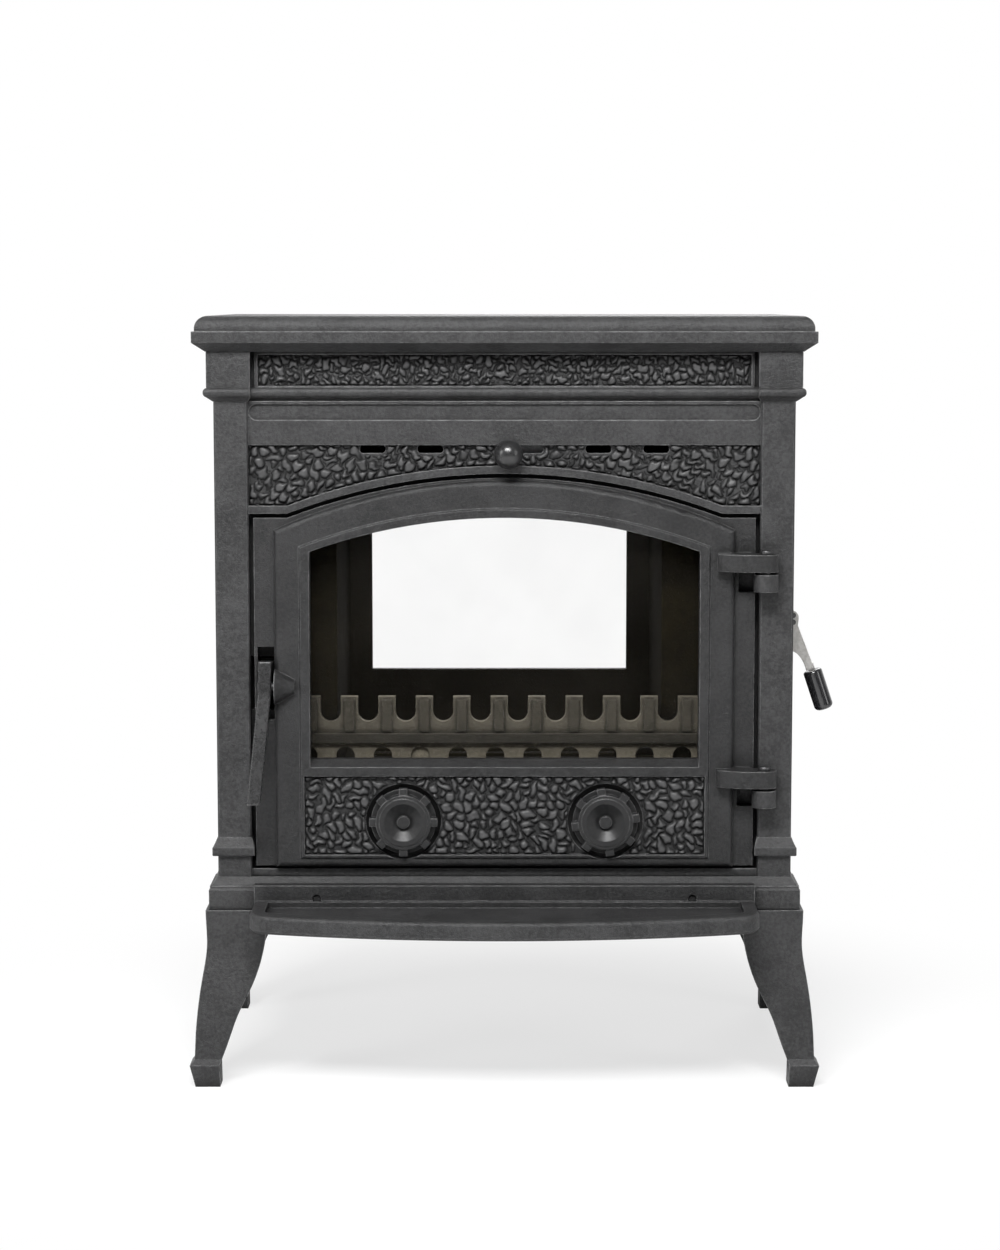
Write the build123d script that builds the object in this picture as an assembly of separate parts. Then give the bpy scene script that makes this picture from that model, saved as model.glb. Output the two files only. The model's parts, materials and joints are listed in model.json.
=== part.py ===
from build123d import *

import math
import os

# Cast iron stove on four legs, in millimetres.
# The origin is on the floor, midway between the pillars across and from front to back.
# X runs to the right, Y to the back and Z up, and the door faces -Y.

# Overall sizes
BODY_W = 552.0
BODY_D = 290.0
LEG_H = 171.0
BASE_H = 31.0
FRAME_H = 504.0
INNER_SHIFT = -5.0

# Top plate
TOP_OVERHANG = 18.5
TOP_COVE_H = 8.5
TOP_BAND_H = 10.5
TOP_LEDGE = 2.7
TOP_ROUND = 12.0
TOP_COVE_IN = 12.0
TOP_SKIN = 9.0
TOP_HOLLOW_IN = 4.0
TOP_HOLLOW_OUT = 8.0

# Pillars and their mouldings
PILLAR_W = 32.5
PILLAR_D = 40.0
PILLAR_EDGE = 1.5
CAP_H = 34.0
CAP_PROUD = 6.0
RING_H = 9.0
RING_PROUD = 9.0
COVE_H = 4.0
FOOT_BLOCK_H = 20.5
FOOT_RING_H = 9.0
FOOT_RING_PROUD = 5.0
FOOT_SLOPE_H = 8.5
CAP_EDGE = 0.8
FOOT_RING_EDGE = 1.5
FLARE_STEP = 0.5
MOULD_INNER = 3.0

# Front and rear castings
BAND_SET_BACK = 4.0
WALL = 12.0
REAR_WALL = 8.0
SEAT_T = 8.0
RECESS = 5.0
RIB_W = 7.5
RIB_PROUD = 3.5
FRIEZE_GAP = 3.5
FRIEZE_BORDER = 3.0
FRIEZE_TOP = 3.0
FRIEZE_LOW = 1.5
BEAD_R = 4.7
GROOVE_H = 3.5
GROOVE_DEPTH = 2.0
LONG_PANEL_H = 15.4
LONG_PANEL_IN = 0.8
LONG_PANEL_DROP = 49.6
LONG_PANEL_DEPTH = 2.5
SLOT_ROW_DROP = 92.5
SLOT_W = 24.5
SLOT_H = 7.8
SLOT_FLAT = 0.6
SLOT_INNER_PITCH = 55.0
SLOT_SPAN = 160.0
SLOT_CENTRE_X = 9.5
KNOB_SLOT_W = 40.0
KNOB_SLOT_X = 17.0
SILL_H = 7.0

# Door opening
HEADER_H = 115.5
OPENING_RISE = 38.1
SEAT_IN = 36.5
SEAT_TOP_IN = 30.0
SEAT_BOTTOM = 28.0
SEAT_JOIN = 3.5

# Door
DOOR_GAP = 4.2
DOOR_BOTTOM = 10.0
FLANGE_T = 8.0
FRAME_PROUD = 11.0
FRAME_IN = 24.0
FRAME_CORNER_DROP = 15.4
FRAME_CROWN_DROP = 6.5
FRAME_ROUND = 5.0
BEAD_IN = 23.5
BEAD_CORNER_DROP = 15.6
BEAD_CROWN_DROP = 26.0
BEAD_PROUD = 2.0
BEAD_BELOW_PANEL = 4.0
BEAD_EDGE = 1.4
GLASS_IN = 10.0
GLASS_CORNER_DROP = 4.8
GLASS_CROWN_DROP = 9.0
GLASS_BOTTOM = 114.0
SILL_SLOPE = 7.2
SILL_DEPTH = 10.0
PANEL_TOP = 98.5
PANEL_BOTTOM = 22.5
PANEL_IN = 4.0
PANEL_DEPTH = 5.0
PANEL_SKIN = 7.0
PANEL_BACK_IN = 8.0
PANEL_BACK_LOW = 12.0
PANEL_BACK_HIGH = 4.0
GLASS_T = 4.0
GASKET_T = 1.5
GLASS_LAP = 8.0
ROPE_W = 8.0
ROPE_IN = 6.5
GASKET_DROP = 8.0
CLEAR = 0.3
RUN = 0.05

# Hinges
HINGE_IN = 27.9
HINGE_OUT = 14.5
KNUCKLE_R = 11.7
KNUCKLE_H = 16.5
KNUCKLE_FOOT = 2.0
HINGE_PIN_R = 4.0
PIN_HEAD_R = 5.9
PIN_HEAD_H = 3.5
PIN_HEAD_ROUND = 1.5
HINGE_GAP = 2.5
HINGE_DROP = 22.0
HINGE_LOW = 106.0
HINGE_NOTCH = 13.0
ARM_REACH = 45.0
ARM_LOW = 6.0
ARM_EDGE = 3.0
ARM_BEND = 22.0
ARM_FALL = 0.5
ARM_NECK = 10.0

# Door handle
HANDLE_IN = 15.0
HANDLE_W = 12.4
HANDLE_T = 10.5
HANDLE_PIVOT_OUT = 5.0
HANDLE_PIVOT_UP = 185.0
HANDLE_TOP = 25.0
HANDLE_DROP = 108.0
HANDLE_OUT = 33.0
HANDLE_LEAN = 9.5
HANDLE_ROUND = 1.6
HANDLE_TOP_OUT = 4.0
HANDLE_KINK_OUT = 8.0
HANDLE_KINK_DROP = 4.0
HANDLE_PIN_R = 4.0
HUB_R = 9.0
HOOK_REACH = 39.0
HOOK_H = 12.0
HOOK_DROP = 1.0
HOOK_TIP = 8.0
HOOK_NOSE_H = 4.0
LATCH_SLOT_W = 16.3
LATCH_SLOT_LOW = 33.0
LATCH_SLOT_HIGH = 37.5
NOTCH_BELOW = 25.0
NOTCH_ABOVE = 2.0
KEEPER_H = 10.0
KEEPER_T = 6.0
BOSS_R = 17.0
BOSS_L = 19.0
BOSS_TIP_R = 7.0
PIN_SHORT = 5.0

# Air wheels
WHEEL_X = 97.0
WHEEL_Z = 54.6
WHEEL_R = 32.9
WHEEL_POCKET_R = 36.1
WHEEL_POCKET_DEPTH = 3.0
WHEEL_LUGS = 8
LUG_W = 8.0
LUG_DEPTH = 6.5
LUG_T = 9.0
WHEEL_BACK_T = 3.0
WHEEL_RING_R = 23.3
WHEEL_DISH_R = 19.4
WHEEL_T = 12.5
WHEEL_BOSS_R = 6.0
WHEEL_STEP = 1.5
WHEEL_EDGE = 0.4
WHEEL_DISH_T = 6.0
STUD_SHORT = 5.0
NUT_R = 7.5
NUT_T = 5.0
STUD_R = 4.0
AIR_HOLE_R = 4.5
AIR_HOLES = 6
AIR_HOLE_PCD_R = 16.0
WASHER_R = 9.0
WASHER_T = 1.5
RIGHT_WHEEL_TURN = -8.0

# Air slider
SLIDER_T = 3.0
SLIDER_H = 21.0
SLIDER_W = 330.0
RAIL_T = 3.0
RAIL_LIP = 4.0
RAIL_H = 8.0
RAIL_SCREW_DEPTH = 4.5
KNOB_R = 13.8
KNOB_X = 3.7
KNOB_DROP = 3.8
KNOB_STAND = 21.0
STEM_W = 7.0
TAB_T = 3.5
TAB_GAP = 2.0
KNOB_STUD_R = 3.0
KNOB_FLAT = 1.6
RAIL_SHORT = 10.0
RAIL_SCREW_IN = 30.0

# Side panels
SIDE_T = 8.0
SIDE_SET_BACK = 12.0
SIDE_FIELD_IN = 70.0
SIDE_FIELD_LOW = 60.0
SIDE_FIELD_HIGH = 60.0
SIDE_FRAME_W = 8.0
SIDE_FRAME_PROUD = 4.0
SIDE_FRAME_EDGE = 2.0

# Firebox
CHEEK_IN = 119.0
CHEEK_T = 8.0
CHEEK_FRONT = 38.0
CHEEK_TOP_DROP = 161.0
WING_GAP = 2.0
LEDGE_Z = 86.0
LEDGE_W = 14.0
LEDGE_T = 8.0
GRATE_T = 9.0
GRATE_SLOTS = 12
GRATE_SLOT_W = 10.0
GRATE_SLOT_IN = 22.0
GRATE_END = 18.0
GRATE_PLAY = 1.0
FENCE_MARGIN = 87.7
FENCE_TINES = 11
FENCE_TINE_W = 16.6
FENCE_TINE_H = 24.5
FENCE_BAR_H = 20.5
FENCE_T = 9.0
FENCE_RIB_W = 9.0
FENCE_RIB_PROUD = 2.0
FENCE_RIB_LOW = 11.0
FENCE_RIB_TOP = 3.0
FENCE_FOOT_PROUD = 4.0
FENCE_FOOT_H = 9.0
FENCE_END_GAP = 2.0
FIRE_FRONT_T = 8.0
FIRE_FRONT_LOW = 88.0
FIRE_FRONT_TOP = 126.0
FIRE_HOLE_W = 18.0
FIRE_HOLE_SHIFT = 4.0
FIRE_HOLE_LOW = 8.0
FIRE_HOLE_TOP = 4.0
FIRE_HOLE_BLIND = 3.0
BAFFLE_T = 8.0
BAFFLE_THROAT = 52.0

# Rear window and flue
WINDOW_IN = 23.4
WINDOW_LOW = 166.0
WINDOW_TOP_GAP = 98.0
WINDOW_LAP = 9.0
WINDOW_FRAME_W = 20.0
WINDOW_FRAME_T = 4.0
WINDOW_FRAME_LAP = 2.0
WINDOW_PLAY = 0.5
WINDOW_SCREW_IN = 10.0
WINDOW_SCREW_DEPTH = 5.5
FLUE_R = 60.0
FLUE_WALL = 4.0
PIPE_STOP = 2.0
FLUE_DROP = 76.0
FLUE_FLANGE_R = 75.0
FLUE_FLANGE_T = 7.0
FLUE_L = 45.0
FLUE_BOLTS = 4
FLUE_BOLT_R = 3.0
FLUE_BOLT_HEAD_R = 4.6
FLUE_BOLT_HEAD_H = 4.5
FLUE_BOLT_SHORT = 5.0
BLANK_R = 75.0
BLANK_IN = 90.0
BLANK_T = 5.0
BLANK_LAP = 0.5
BLANK_HEAD_R = 4.2
BLANK_HEAD_H = 2.0
BLANK_HEAD_DEEP = 2.2

# Ash pan and ash lip
RUNNER_H = 28.0
RUNNER_W = 10.0
PAN_SIDE_GAP = 14.0
RUNNER_FRONT_GAP = 10.0
RUNNER_REAR_GAP = 8.0
PAN_DEPTH_GAP = 94.0
PAN_FRONT_GAP = 18.0
PAN_H = 44.0
PAN_WALL = 2.0
PAN_GRIP = 14.0
LIP_IN = 36.0
LIP_REACH = 112.0
LIP_BOW = 34.0
LIP_FRONT_UP = 11.0
LIP_FRONT_H = 17.5
LIP_REAR_UP = 26.0
LIP_REAR_W = 12.0
LIP_RIM_W = 14.0
LIP_CORNER = 22.0
LIP_ROUND = 4.0
LIP_CHAMFER = 3.0
LIP_DISH = 6.0
LIP_NOTCH = 16.0
LIP_LEDGE_GAP = 4.0
LIP_BOLT_R = 4.0
LIP_BOLT_UP = 13.0
LIP_BOLT_SHARE = 0.75
LIP_BOLT_HEAD_R = 7.0
LIP_BOLT_HEAD_H = 4.5
LIP_BOLT_SHORT = 2.0

# Legs
LEG_TOP = 59.0
LEG_PROUD = 3.0
LEG_WALL = 9.0
LEG_WEB = 10.0
FOOT_H = 22.0
FOOT_TOE = 5.0
FOOT_WEB = 12.0
LEG_OUTER = ((3.0, 1.0), (2.2, 0.79), (7.0, 0.6), (12.9, 0.3))
LEG_INNER = ((-18.1, 0.25), (-28.3, 0.415), (-42.8, 0.59), (-53.0, 0.8))
ANKLE = (-10.0, 14.0)
FOOT_OUT = 18.5
SOLE = (-10.5, 13.5)
PLINTH_PROUD = 8.5
PLINTH_FACE_H = 19.0
BASE_WALL = 9.0
BASE_FLOOR = 8.0
PLINTH_STEP = 1.0
LEG_BOLT_R = 5.0
LEG_BOLT_DEPTH = 17.0
LEG_BOLT_HEAD_R = 8.5
LEG_BOLT_HEAD_H = 6.0
TIE_R = 4.0
TIE_WELL_R = 10.0
TIE_BOSS_R = 9.0
TIE_IN = 8.0
TIE_BACK = 10.0
TIE_LOW = 12.0
TIE_UP = 10.0
TIE_NUT_R = 7.5
TIE_NUT_T = 6.5

# Riddling gear
RIDDLE_T = 6.0
RIDDLE_BARS = 6
RIDDLE_BAR_W = 12.0
RIDDLE_END = 16.0
RIDDLE_GAP = 4.0
RIDDLE_RIM = 10.0
LUG_L = 14.0
LUG_HALF = 8.0
LUG_UP = 7.0
LUG_HOLE = 10.0
CRANK_IN = 2.5
CRANK_BACK = 55.0
CRANK_T = 9.0
CRANK_UP = 232.0
CRANK_BOSS_R = 6.3
CRANK_ARM_W = 6.0
CRANK_PAD = (5.3, 10.3, 18.0)
CRANK_EYE = (6.0, 5.0, 7.0, 7.5)
CRANK_SLOT_LOW = 4.0
CRANK_PIN_R = 3.0
CRANK_PIN_HEAD_R = 4.6
CRANK_PIN_HEAD_H = 2.5
BRACKET_W = 9.2
BRACKET_EAR_T = 5.0
BRACKET_FOOT_T = 3.5
BRACKET_HALF_H = 20.0
BRACKET_EAR_HALF = 9.0
BRACKET_SCREW_UP = 14.5
BRACKET_SCREW_DEPTH = 5.5
BRACKET_HEAD_R = 3.8
ROD_LIFT = 10.7
ROD_SET_BACK = 10.0
ROD_R = 4.0
ROD_PIN_R = 2.5
ROD_PIN_IN = 1.0
ROD_IN_LUG = 9.5
ROD_PIN_END = 2.0
ROD_SLOT_PLAY = 0.45
ROD_TRAVEL = 25.5
LEVER_T = 4.0
LEVER_HEAD = ((-2.0, 12.0), (6.5, 20.8), (12.3, 13.5))
LEVER_ARM = ((11.6, 6.0), (28.0, -36.0), (20.3, -38.0))
LEVER_UNDER = ((16.6, -28.6), (12.3, -22.6), (5.6, -18.2), (-2.0, -16.0))
TANG_W = 6.0
TANG_L = 30.0
TANG_DOWN = 8.0
RIVET_R = 1.6
RIVET_X = 7.0
RIVET_UP = (9.5, 16.2)
RIVET_HEAD = 1.0
RIVET_HEAD_H = 1.2
GRIP_R = 9.2
GRIP_L = 40.0
GRIP_ANGLE = 18.5
GRIP_OUT = 26.0
GRIP_DROP = 37.5
GRIP_END_ROUND = 4.5
GRIP_TOP_ROUND = 2.5

# Screws and clearances
SCREW_R = 2.0
CLIP_SCREW_R = 1.5
CLIP_HALF = 3.5
CLIP_T = 1.5
CLIP_REACH = 9.0
CLIP_OUT = 4.0
CLIP_LOW = 40.0
CLIP_HIGH = 20.0
CLIP_HEAD_R = 2.8
CLIP_HEAD_H = 1.8
SCREW_HEAD_R = 4.0
SCREW_HEAD_H = 2.4
RAIL_HEAD_R = 3.4
SCREW_END = 0.5
HOLE_PLAY = 0.2
THREAD_PLAY = 0.1

# Worked out from the sizes above
HALF_W = BODY_W / 2
HALF_D = BODY_D / 2
FLOOR_Z = LEG_H + BASE_H
HEAD_Z = FLOOR_Z + FRAME_H
PILLAR_IN = HALF_W - PILLAR_W
OPENING_CROWN = FRAME_H - HEADER_H
OPENING_SHOULDER = OPENING_CROWN - OPENING_RISE
OPENING_SHOULDER_X = PILLAR_IN - SEAT_IN
FRAME_HALF = PILLAR_IN - FRAME_IN
FRAME_CORNER = OPENING_SHOULDER - FRAME_CORNER_DROP
FRAME_CROWN = OPENING_CROWN - FRAME_CROWN_DROP
BEAD_HALF = FRAME_HALF - BEAD_IN
BEAD_CORNER = FRAME_CORNER - BEAD_CORNER_DROP
BEAD_CROWN = FRAME_CROWN - BEAD_CROWN_DROP
GLASS_HALF = BEAD_HALF - GLASS_IN
GLASS_CORNER = BEAD_CORNER - GLASS_CORNER_DROP
GLASS_CROWN = BEAD_CROWN - GLASS_CROWN_DROP
PANEL_HALF = BEAD_HALF - PANEL_IN
ROPE_HALF = FRAME_HALF - ROPE_IN
HINGE_X = HALF_W - HINGE_IN
HINGE_TOPS = (FRAME_CORNER - HINGE_DROP, HINGE_LOW)
HANDLE_X = HANDLE_IN - PILLAR_IN
HANDLE_PIVOT_Y = -HALF_D - HANDLE_PIVOT_OUT
HANDLE_PIVOT_Z = FLOOR_Z + HANDLE_PIVOT_UP
BAND_Y = -HALF_D + BAND_SET_BACK
BACK_Y = BAND_Y + WALL
SEAT_Y = BACK_Y + SEAT_T
FRAME_Y = BAND_Y - FRAME_PROUD
DOOR_BACK_Y = BAND_Y + FLANGE_T
HINGE_Y = -HALF_D - HINGE_OUT
SIDE_OUT = HALF_W - SIDE_SET_BACK
SIDE_IN = SIDE_OUT - SIDE_T
REAR_FACE = HALF_D - BAND_SET_BACK
REAR_INNER = REAR_FACE - REAR_WALL
SIDE_FIELD_W = 2 * (HALF_D - SIDE_FIELD_IN)
CHEEK_HALF = HALF_W - CHEEK_IN
CHEEK_TOP = FRAME_H - CHEEK_TOP_DROP
CHEEK_Y = -HALF_D + CHEEK_FRONT
FENCE_PITCH = (2 * PILLAR_IN - FENCE_MARGIN) / FENCE_TINES
FLUE_Z = FRAME_H - FLUE_DROP
WINDOW_HALF = CHEEK_HALF - WINDOW_IN
WINDOW_HIGH = FLUE_Z - WINDOW_TOP_GAP
BLANK_Y = HALF_D - BLANK_IN
PAN_W = 2 * (CHEEK_HALF - PAN_SIDE_GAP)
PAN_D = BODY_D - PAN_DEPTH_GAP
LIP_HALF = HALF_W - LIP_IN
LIP_FRONT_TOP = LEG_H + LIP_FRONT_UP
LIP_REAR_TOP = LEG_H + LIP_REAR_UP
LIP_BOLT_Z = LEG_H + LIP_BOLT_UP
CRANK_X = HALF_W - CRANK_IN
CRANK_Y = -HALF_D + CRANK_BACK
CRANK_Z = FLOOR_Z + CRANK_UP
RIDDLE_Z = FLOOR_Z + LEDGE_Z + GRATE_T + CLEAR + RIDDLE_T
ROD_Z = RIDDLE_Z + ROD_LIFT
ROD_PIN_X = HALF_W - ROD_PIN_IN
ROD_Y = CRANK_Y + ROD_SET_BACK
BRACKET_Y = CRANK_Y + CRANK_T / 2 + CLEAR
BRACKET_SCREW_Y = BRACKET_Y + BRACKET_W / 2
PANEL_Y = FRAME_Y + PANEL_DEPTH
POCKET_Y = PANEL_Y + WHEEL_POCKET_DEPTH
EPS = 1.0


def block(x0, x1, y0, y1, z0, z1):
    """Box between two opposite corners."""
    box = Box(x1 - x0, y1 - y0, z1 - z0)
    return Pos((x0 + x1) / 2, (y0 + y1) / 2, (z0 + z1) / 2) * box


def rod_x(y, z, r, x0, x1):
    return Pos((x0 + x1) / 2, y, z) * Rot(0, 90, 0) * Cylinder(r, x1 - x0)


def rod_y(x, z, r, y0, y1):
    return Pos(x, (y0 + y1) / 2, z) * Rot(90, 0, 0) * Cylinder(r, y1 - y0)


def rod_z(x, y, r, z0, z1):
    return Pos(x, y, (z0 + z1) / 2) * Cylinder(r, z1 - z0)


def slab(edges, y0, y1):
    """Solid between two Y planes from an outline drawn at Y = y0."""
    return extrude(make_face(edges), amount=y1 - y0, dir=(0, 1, 0))


def rounded(half, z0, z1, y, r, x=0.0):
    """Rectangle outline in XZ with round corners, as a face at Y."""
    plane = Plane(origin=(x, y, (z0 + z1) / 2), x_dir=(1, 0, 0), z_dir=(0, -1, 0))
    return plane * RectangleRounded(2 * half, z1 - z0, r)


def arch(half, low, corner, crown, y0, y1, grow=0.0):
    """Slab with straight sides and one arc over the top."""
    half, low = half + grow, low - grow
    corner, crown = corner + grow, crown + grow
    a, b = (-half, y0, low), (half, y0, low)
    c, d = (half, y0, corner), (-half, y0, corner)
    edges = [Line(a, b), Line(b, c), ThreePointArc(c, (0, y0, crown), d), Line(d, a)]
    return slab(edges, y0, y1)


def shouldered(half, low, grow, y0, y1):
    """Slab of the door opening's outline: flat shoulders and an arc between them."""
    half = half + grow
    low = low - grow
    shoulder = FLOOR_Z + OPENING_SHOULDER + grow
    crown = FLOOR_Z + OPENING_CROWN + grow
    sx = OPENING_SHOULDER_X
    pts = [(-sx, shoulder), (-half, shoulder), (-half, low), (half, low), (half, shoulder), (sx, shoulder)]
    pts = [(x, y0, z) for x, z in pts]
    edges = [Line(a, b) for a, b in zip(pts, pts[1:])]
    edges.append(ThreePointArc(pts[-1], (0, y0, crown), pts[0]))
    return slab(edges, y0, y1)


def both(shape):
    """A shape and its mirror image across the middle plane."""
    return shape + mirror(shape, about=Plane.YZ)


def screw_y(x, z, r, y_head, y_tip, head_r, head_h):
    """Screw along Y whose head sits on the plane y_head and points to -Y or +Y."""
    sign = 1 if y_tip > y_head else -1
    shank = rod_y(x, z, r, min(y_head, y_tip), max(y_head, y_tip))
    low, high = sorted((y_head, y_head - sign * head_h))
    return shank + rod_y(x, z, head_r, low, high)


# Base and legs
def base_plate():
    """Hollow plinth casting with a sloped top edge and the runners for the ash pan."""
    px, py = HALF_W + PLINTH_PROUD, HALF_D + PLINTH_PROUD
    face_top = LEG_H + PLINTH_FACE_H
    body = block(-px, px, -py, py, LEG_H, face_top)
    low = Pos(0, 0, face_top) * Rectangle(2 * px, 2 * py)
    high = Pos(0, 0, FLOOR_Z) * Rectangle(BODY_W + PLINTH_STEP, BODY_D + PLINTH_STEP)
    body += loft([low, high])
    inner_x, inner_y = HALF_W - BASE_WALL, HALF_D - BASE_WALL
    body -= block(-inner_x, inner_x, -inner_y, inner_y, LEG_H - EPS, FLOOR_Z - BASE_FLOOR)
    pad = LEG_TOP + LEG_PROUD
    for x, y in leg_corners():
        sx, sy = math.copysign(1, x), math.copysign(1, y)
        x0, x1 = sorted((sx * (px - pad), sx * (px - EPS)))
        y0, y1 = sorted((sy * (py - pad), sy * (py - EPS)))
        body += block(x0, x1, y0, y1, LEG_H, FLOOR_Z - BASE_FLOOR)
    for x in pan_runner_x():
        body += block(x - RUNNER_W / 2, x + RUNNER_W / 2, SEAT_Y + RUNNER_FRONT_GAP,
                      REAR_INNER - RUNNER_REAR_GAP, FLOOR_Z - EPS, FLOOR_Z + RUNNER_H)
    for x, y in leg_corners():
        body -= rod_z(x, y, LEG_BOLT_R + HOLE_PLAY, LEG_H - EPS, LEG_H + LEG_BOLT_DEPTH + EPS)
    for x, y in tie_places():
        body -= rod_z(x, y, TIE_R + HOLE_PLAY, LEG_H - EPS, FLOOR_Z + EPS)
        body -= rod_z(x, y, TIE_WELL_R, LEG_H - EPS, FLOOR_Z - BASE_FLOOR)
    for x in lip_bolt_x():
        body -= rod_y(x, LIP_BOLT_Z, LIP_BOLT_R + HOLE_PLAY, -py - EPS, -inner_y + EPS)
    return body


def leg_corners():
    """Centres of the four leg tops."""
    x = HALF_W + PLINTH_PROUD + LEG_PROUD - LEG_TOP / 2
    y = HALF_D + PLINTH_PROUD + LEG_PROUD - LEG_TOP / 2
    return [(-x, -y), (x, -y), (-x, y), (x, y)]


def leg_side(u0):
    """Leg silhouette, u outwards from the plinth's face and z up, as a face in XZ at Y = 0."""
    top, foot = LEG_H, FOOT_H

    def at(u, z):
        return (u0 + u, 0, z)

    head_out, head_in = at(LEG_PROUD, top), at(LEG_PROUD - LEG_TOP, top)
    ankle_in, ankle_out = at(ANKLE[0], foot), at(ANKLE[1], foot + FOOT_TOE)
    toe, sole_in, sole_out = at(FOOT_OUT, foot), at(SOLE[0], 0), at(SOLE[1], 0)
    outer = Spline([at(u, share * top) for u, share in LEG_OUTER] + [ankle_out],
                   tangents=[(0, 0, -1), (0.05, 0, -1)])
    inner = Spline([ankle_in] + [at(u, share * top) for u, share in LEG_INNER] + [head_in])
    edges = [outer, Line(ankle_out, toe), Line(toe, sole_out), Line(sole_out, sole_in),
             Line(sole_in, ankle_in), inner, Line(head_in, head_out)]
    return make_face(edges)


def leg_solid(shift=0.0):
    """Leg for the right rear corner: its silhouette seen from the front and from the side."""
    reach = BODY_W
    px, py = HALF_W + PLINTH_PROUD - shift, HALF_D + PLINTH_PROUD - shift
    front = extrude(leg_side(px), amount=reach, dir=(0, 1, 0))
    side = extrude(Rot(0, 0, 90) * leg_side(py), amount=reach, dir=(1, 0, 0))
    side = Pos(px - 2 * LEG_TOP, 0, 0) * side
    return front & side


def leg():
    """One cast leg: two curved walls that meet at the corner, a web on top and a solid foot."""
    shape = leg_solid()
    px, py = HALF_W + PLINTH_PROUD, HALF_D + PLINTH_PROUD
    hollow = leg_solid(LEG_WALL) & block(px - 2 * LEG_TOP, px + LEG_TOP, py - 2 * LEG_TOP, py + LEG_TOP,
                                             FOOT_H + FOOT_WEB, LEG_H - LEG_WEB)
    spread = Pos(-LEG_WALL, -LEG_WALL, 0) * hollow
    shape = shape - hollow - spread - Pos(-LEG_WALL, 0, 0) * hollow - Pos(0, -LEG_WALL, 0) * hollow
    x, y = leg_corners()[3]
    return shape - rod_z(x, y, LEG_BOLT_R + HOLE_PLAY, LEG_H - 2 * LEG_WEB, LEG_H + EPS)


def leg_bolts():
    """Bolts that hold the legs to the base from below."""
    bolts = []
    for x, y in leg_corners():
        shank = rod_z(x, y, LEG_BOLT_R, LEG_H - LEG_WEB, LEG_H + LEG_BOLT_DEPTH)
        head = extrude(RegularPolygon(LEG_BOLT_HEAD_R, 6), amount=LEG_BOLT_HEAD_H)
        head = Pos(x, y, LEG_H - LEG_WEB - LEG_BOLT_HEAD_H) * head
        bolts.append(shank + head)
    return bolts


def tie_places():
    """Where the four tie rods stand, inside the corners."""
    x = SIDE_IN - TIE_IN
    y = HALF_D - PILLAR_D - TIE_BACK
    return [(-x, -y), (x, -y), (-x, y), (x, y)]


def tie_rods():
    """Rods that clamp the top plate, the castings and the base together."""
    return [rod_z(x, y, TIE_R, LEG_H + TIE_LOW, HEAD_Z + TIE_UP) for x, y in tie_places()]


def tie_rod_nuts():
    """Nuts under the base floor."""
    top = FLOOR_Z - BASE_FLOOR
    nuts = []
    for x, y in tie_places():
        nut = Pos(x, y, top - TIE_NUT_T) * extrude(RegularPolygon(TIE_NUT_R, 6), amount=TIE_NUT_T)
        nuts.append(nut - rod_z(x, y, TIE_R + RUN, top - TIE_NUT_T - EPS, top + EPS))
    return nuts


# Front and rear castings
def pillar():
    """Right front pillar with its capital, ring, foot moulding and foot block."""
    y0, y1 = -HALF_D, -HALF_D + PILLAR_D
    shaft = block(PILLAR_IN, HALF_W, y0, y1, FLOOR_Z, HEAD_Z)
    edges = shaft.edges().filter_by(Axis.Z).sort_by(Axis.Y)[:2]
    shaft = chamfer(edges, PILLAR_EDGE)
    cap_z = HEAD_Z - CAP_H
    shape = shaft + moulding(CAP_PROUD, cap_z, HEAD_Z, CAP_EDGE)
    shape += moulding(RING_PROUD, cap_z - RING_H, cap_z, RING_H / 2 - CLEAR)
    shape += flare(CAP_PROUD, FLARE_STEP, cap_z - RING_H - COVE_H, cap_z - RING_H, True)
    foot = FLOOR_Z + FOOT_BLOCK_H
    ring_top = foot + FOOT_RING_H
    shape += moulding(FOOT_RING_PROUD, foot, ring_top, FOOT_RING_EDGE)
    shape += flare(FOOT_RING_PROUD - EPS, FLARE_STEP, ring_top, ring_top + FOOT_SLOPE_H, False)
    return shape


def collar_box(proud):
    """Plan limits of a collar that stands proud of the pillar on its front and outer sides."""
    inner = PILLAR_IN - min(proud, MOULD_INNER)
    return inner, HALF_W + proud, -HALF_D - proud, -HALF_D + PILLAR_D


def moulding(proud, z0, z1, edge):
    x0, x1, y0, y1 = collar_box(proud)
    body = block(x0, x1, y0, y1, z0, z1)
    rim = body.edges().filter_by(Axis.X).sort_by(Axis.Y)[:2]
    rim += body.edges().filter_by(Axis.Y).sort_by(Axis.X)[-2:]
    return fillet(rim, edge)


def flare(wide, narrow, z0, z1, wide_on_top):
    x0, x1, y0, y1 = collar_box(wide)
    a0, a1, b0, b1 = collar_box(narrow)
    high, low = (z1, z0) if wide_on_top else (z0, z1)
    big = Pos((x0 + x1) / 2, (y0 + y1) / 2, high) * Rectangle(x1 - x0, y1 - y0)
    small = Pos((a0 + a1) / 2, (b0 + b1) / 2, low) * Rectangle(a1 - a0, b1 - b0)
    return loft([big, small]) if high < low else loft([small, big])


def slot_centres():
    """Centres of the four short air slots."""
    x = SLOT_CENTRE_X
    inner = SLOT_SPAN / 2
    return [x - inner - SLOT_INNER_PITCH, x - inner, x + inner, x + inner + SLOT_INNER_PITCH]


def slot_z():
    return HEAD_Z - SLOT_ROW_DROP


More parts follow.
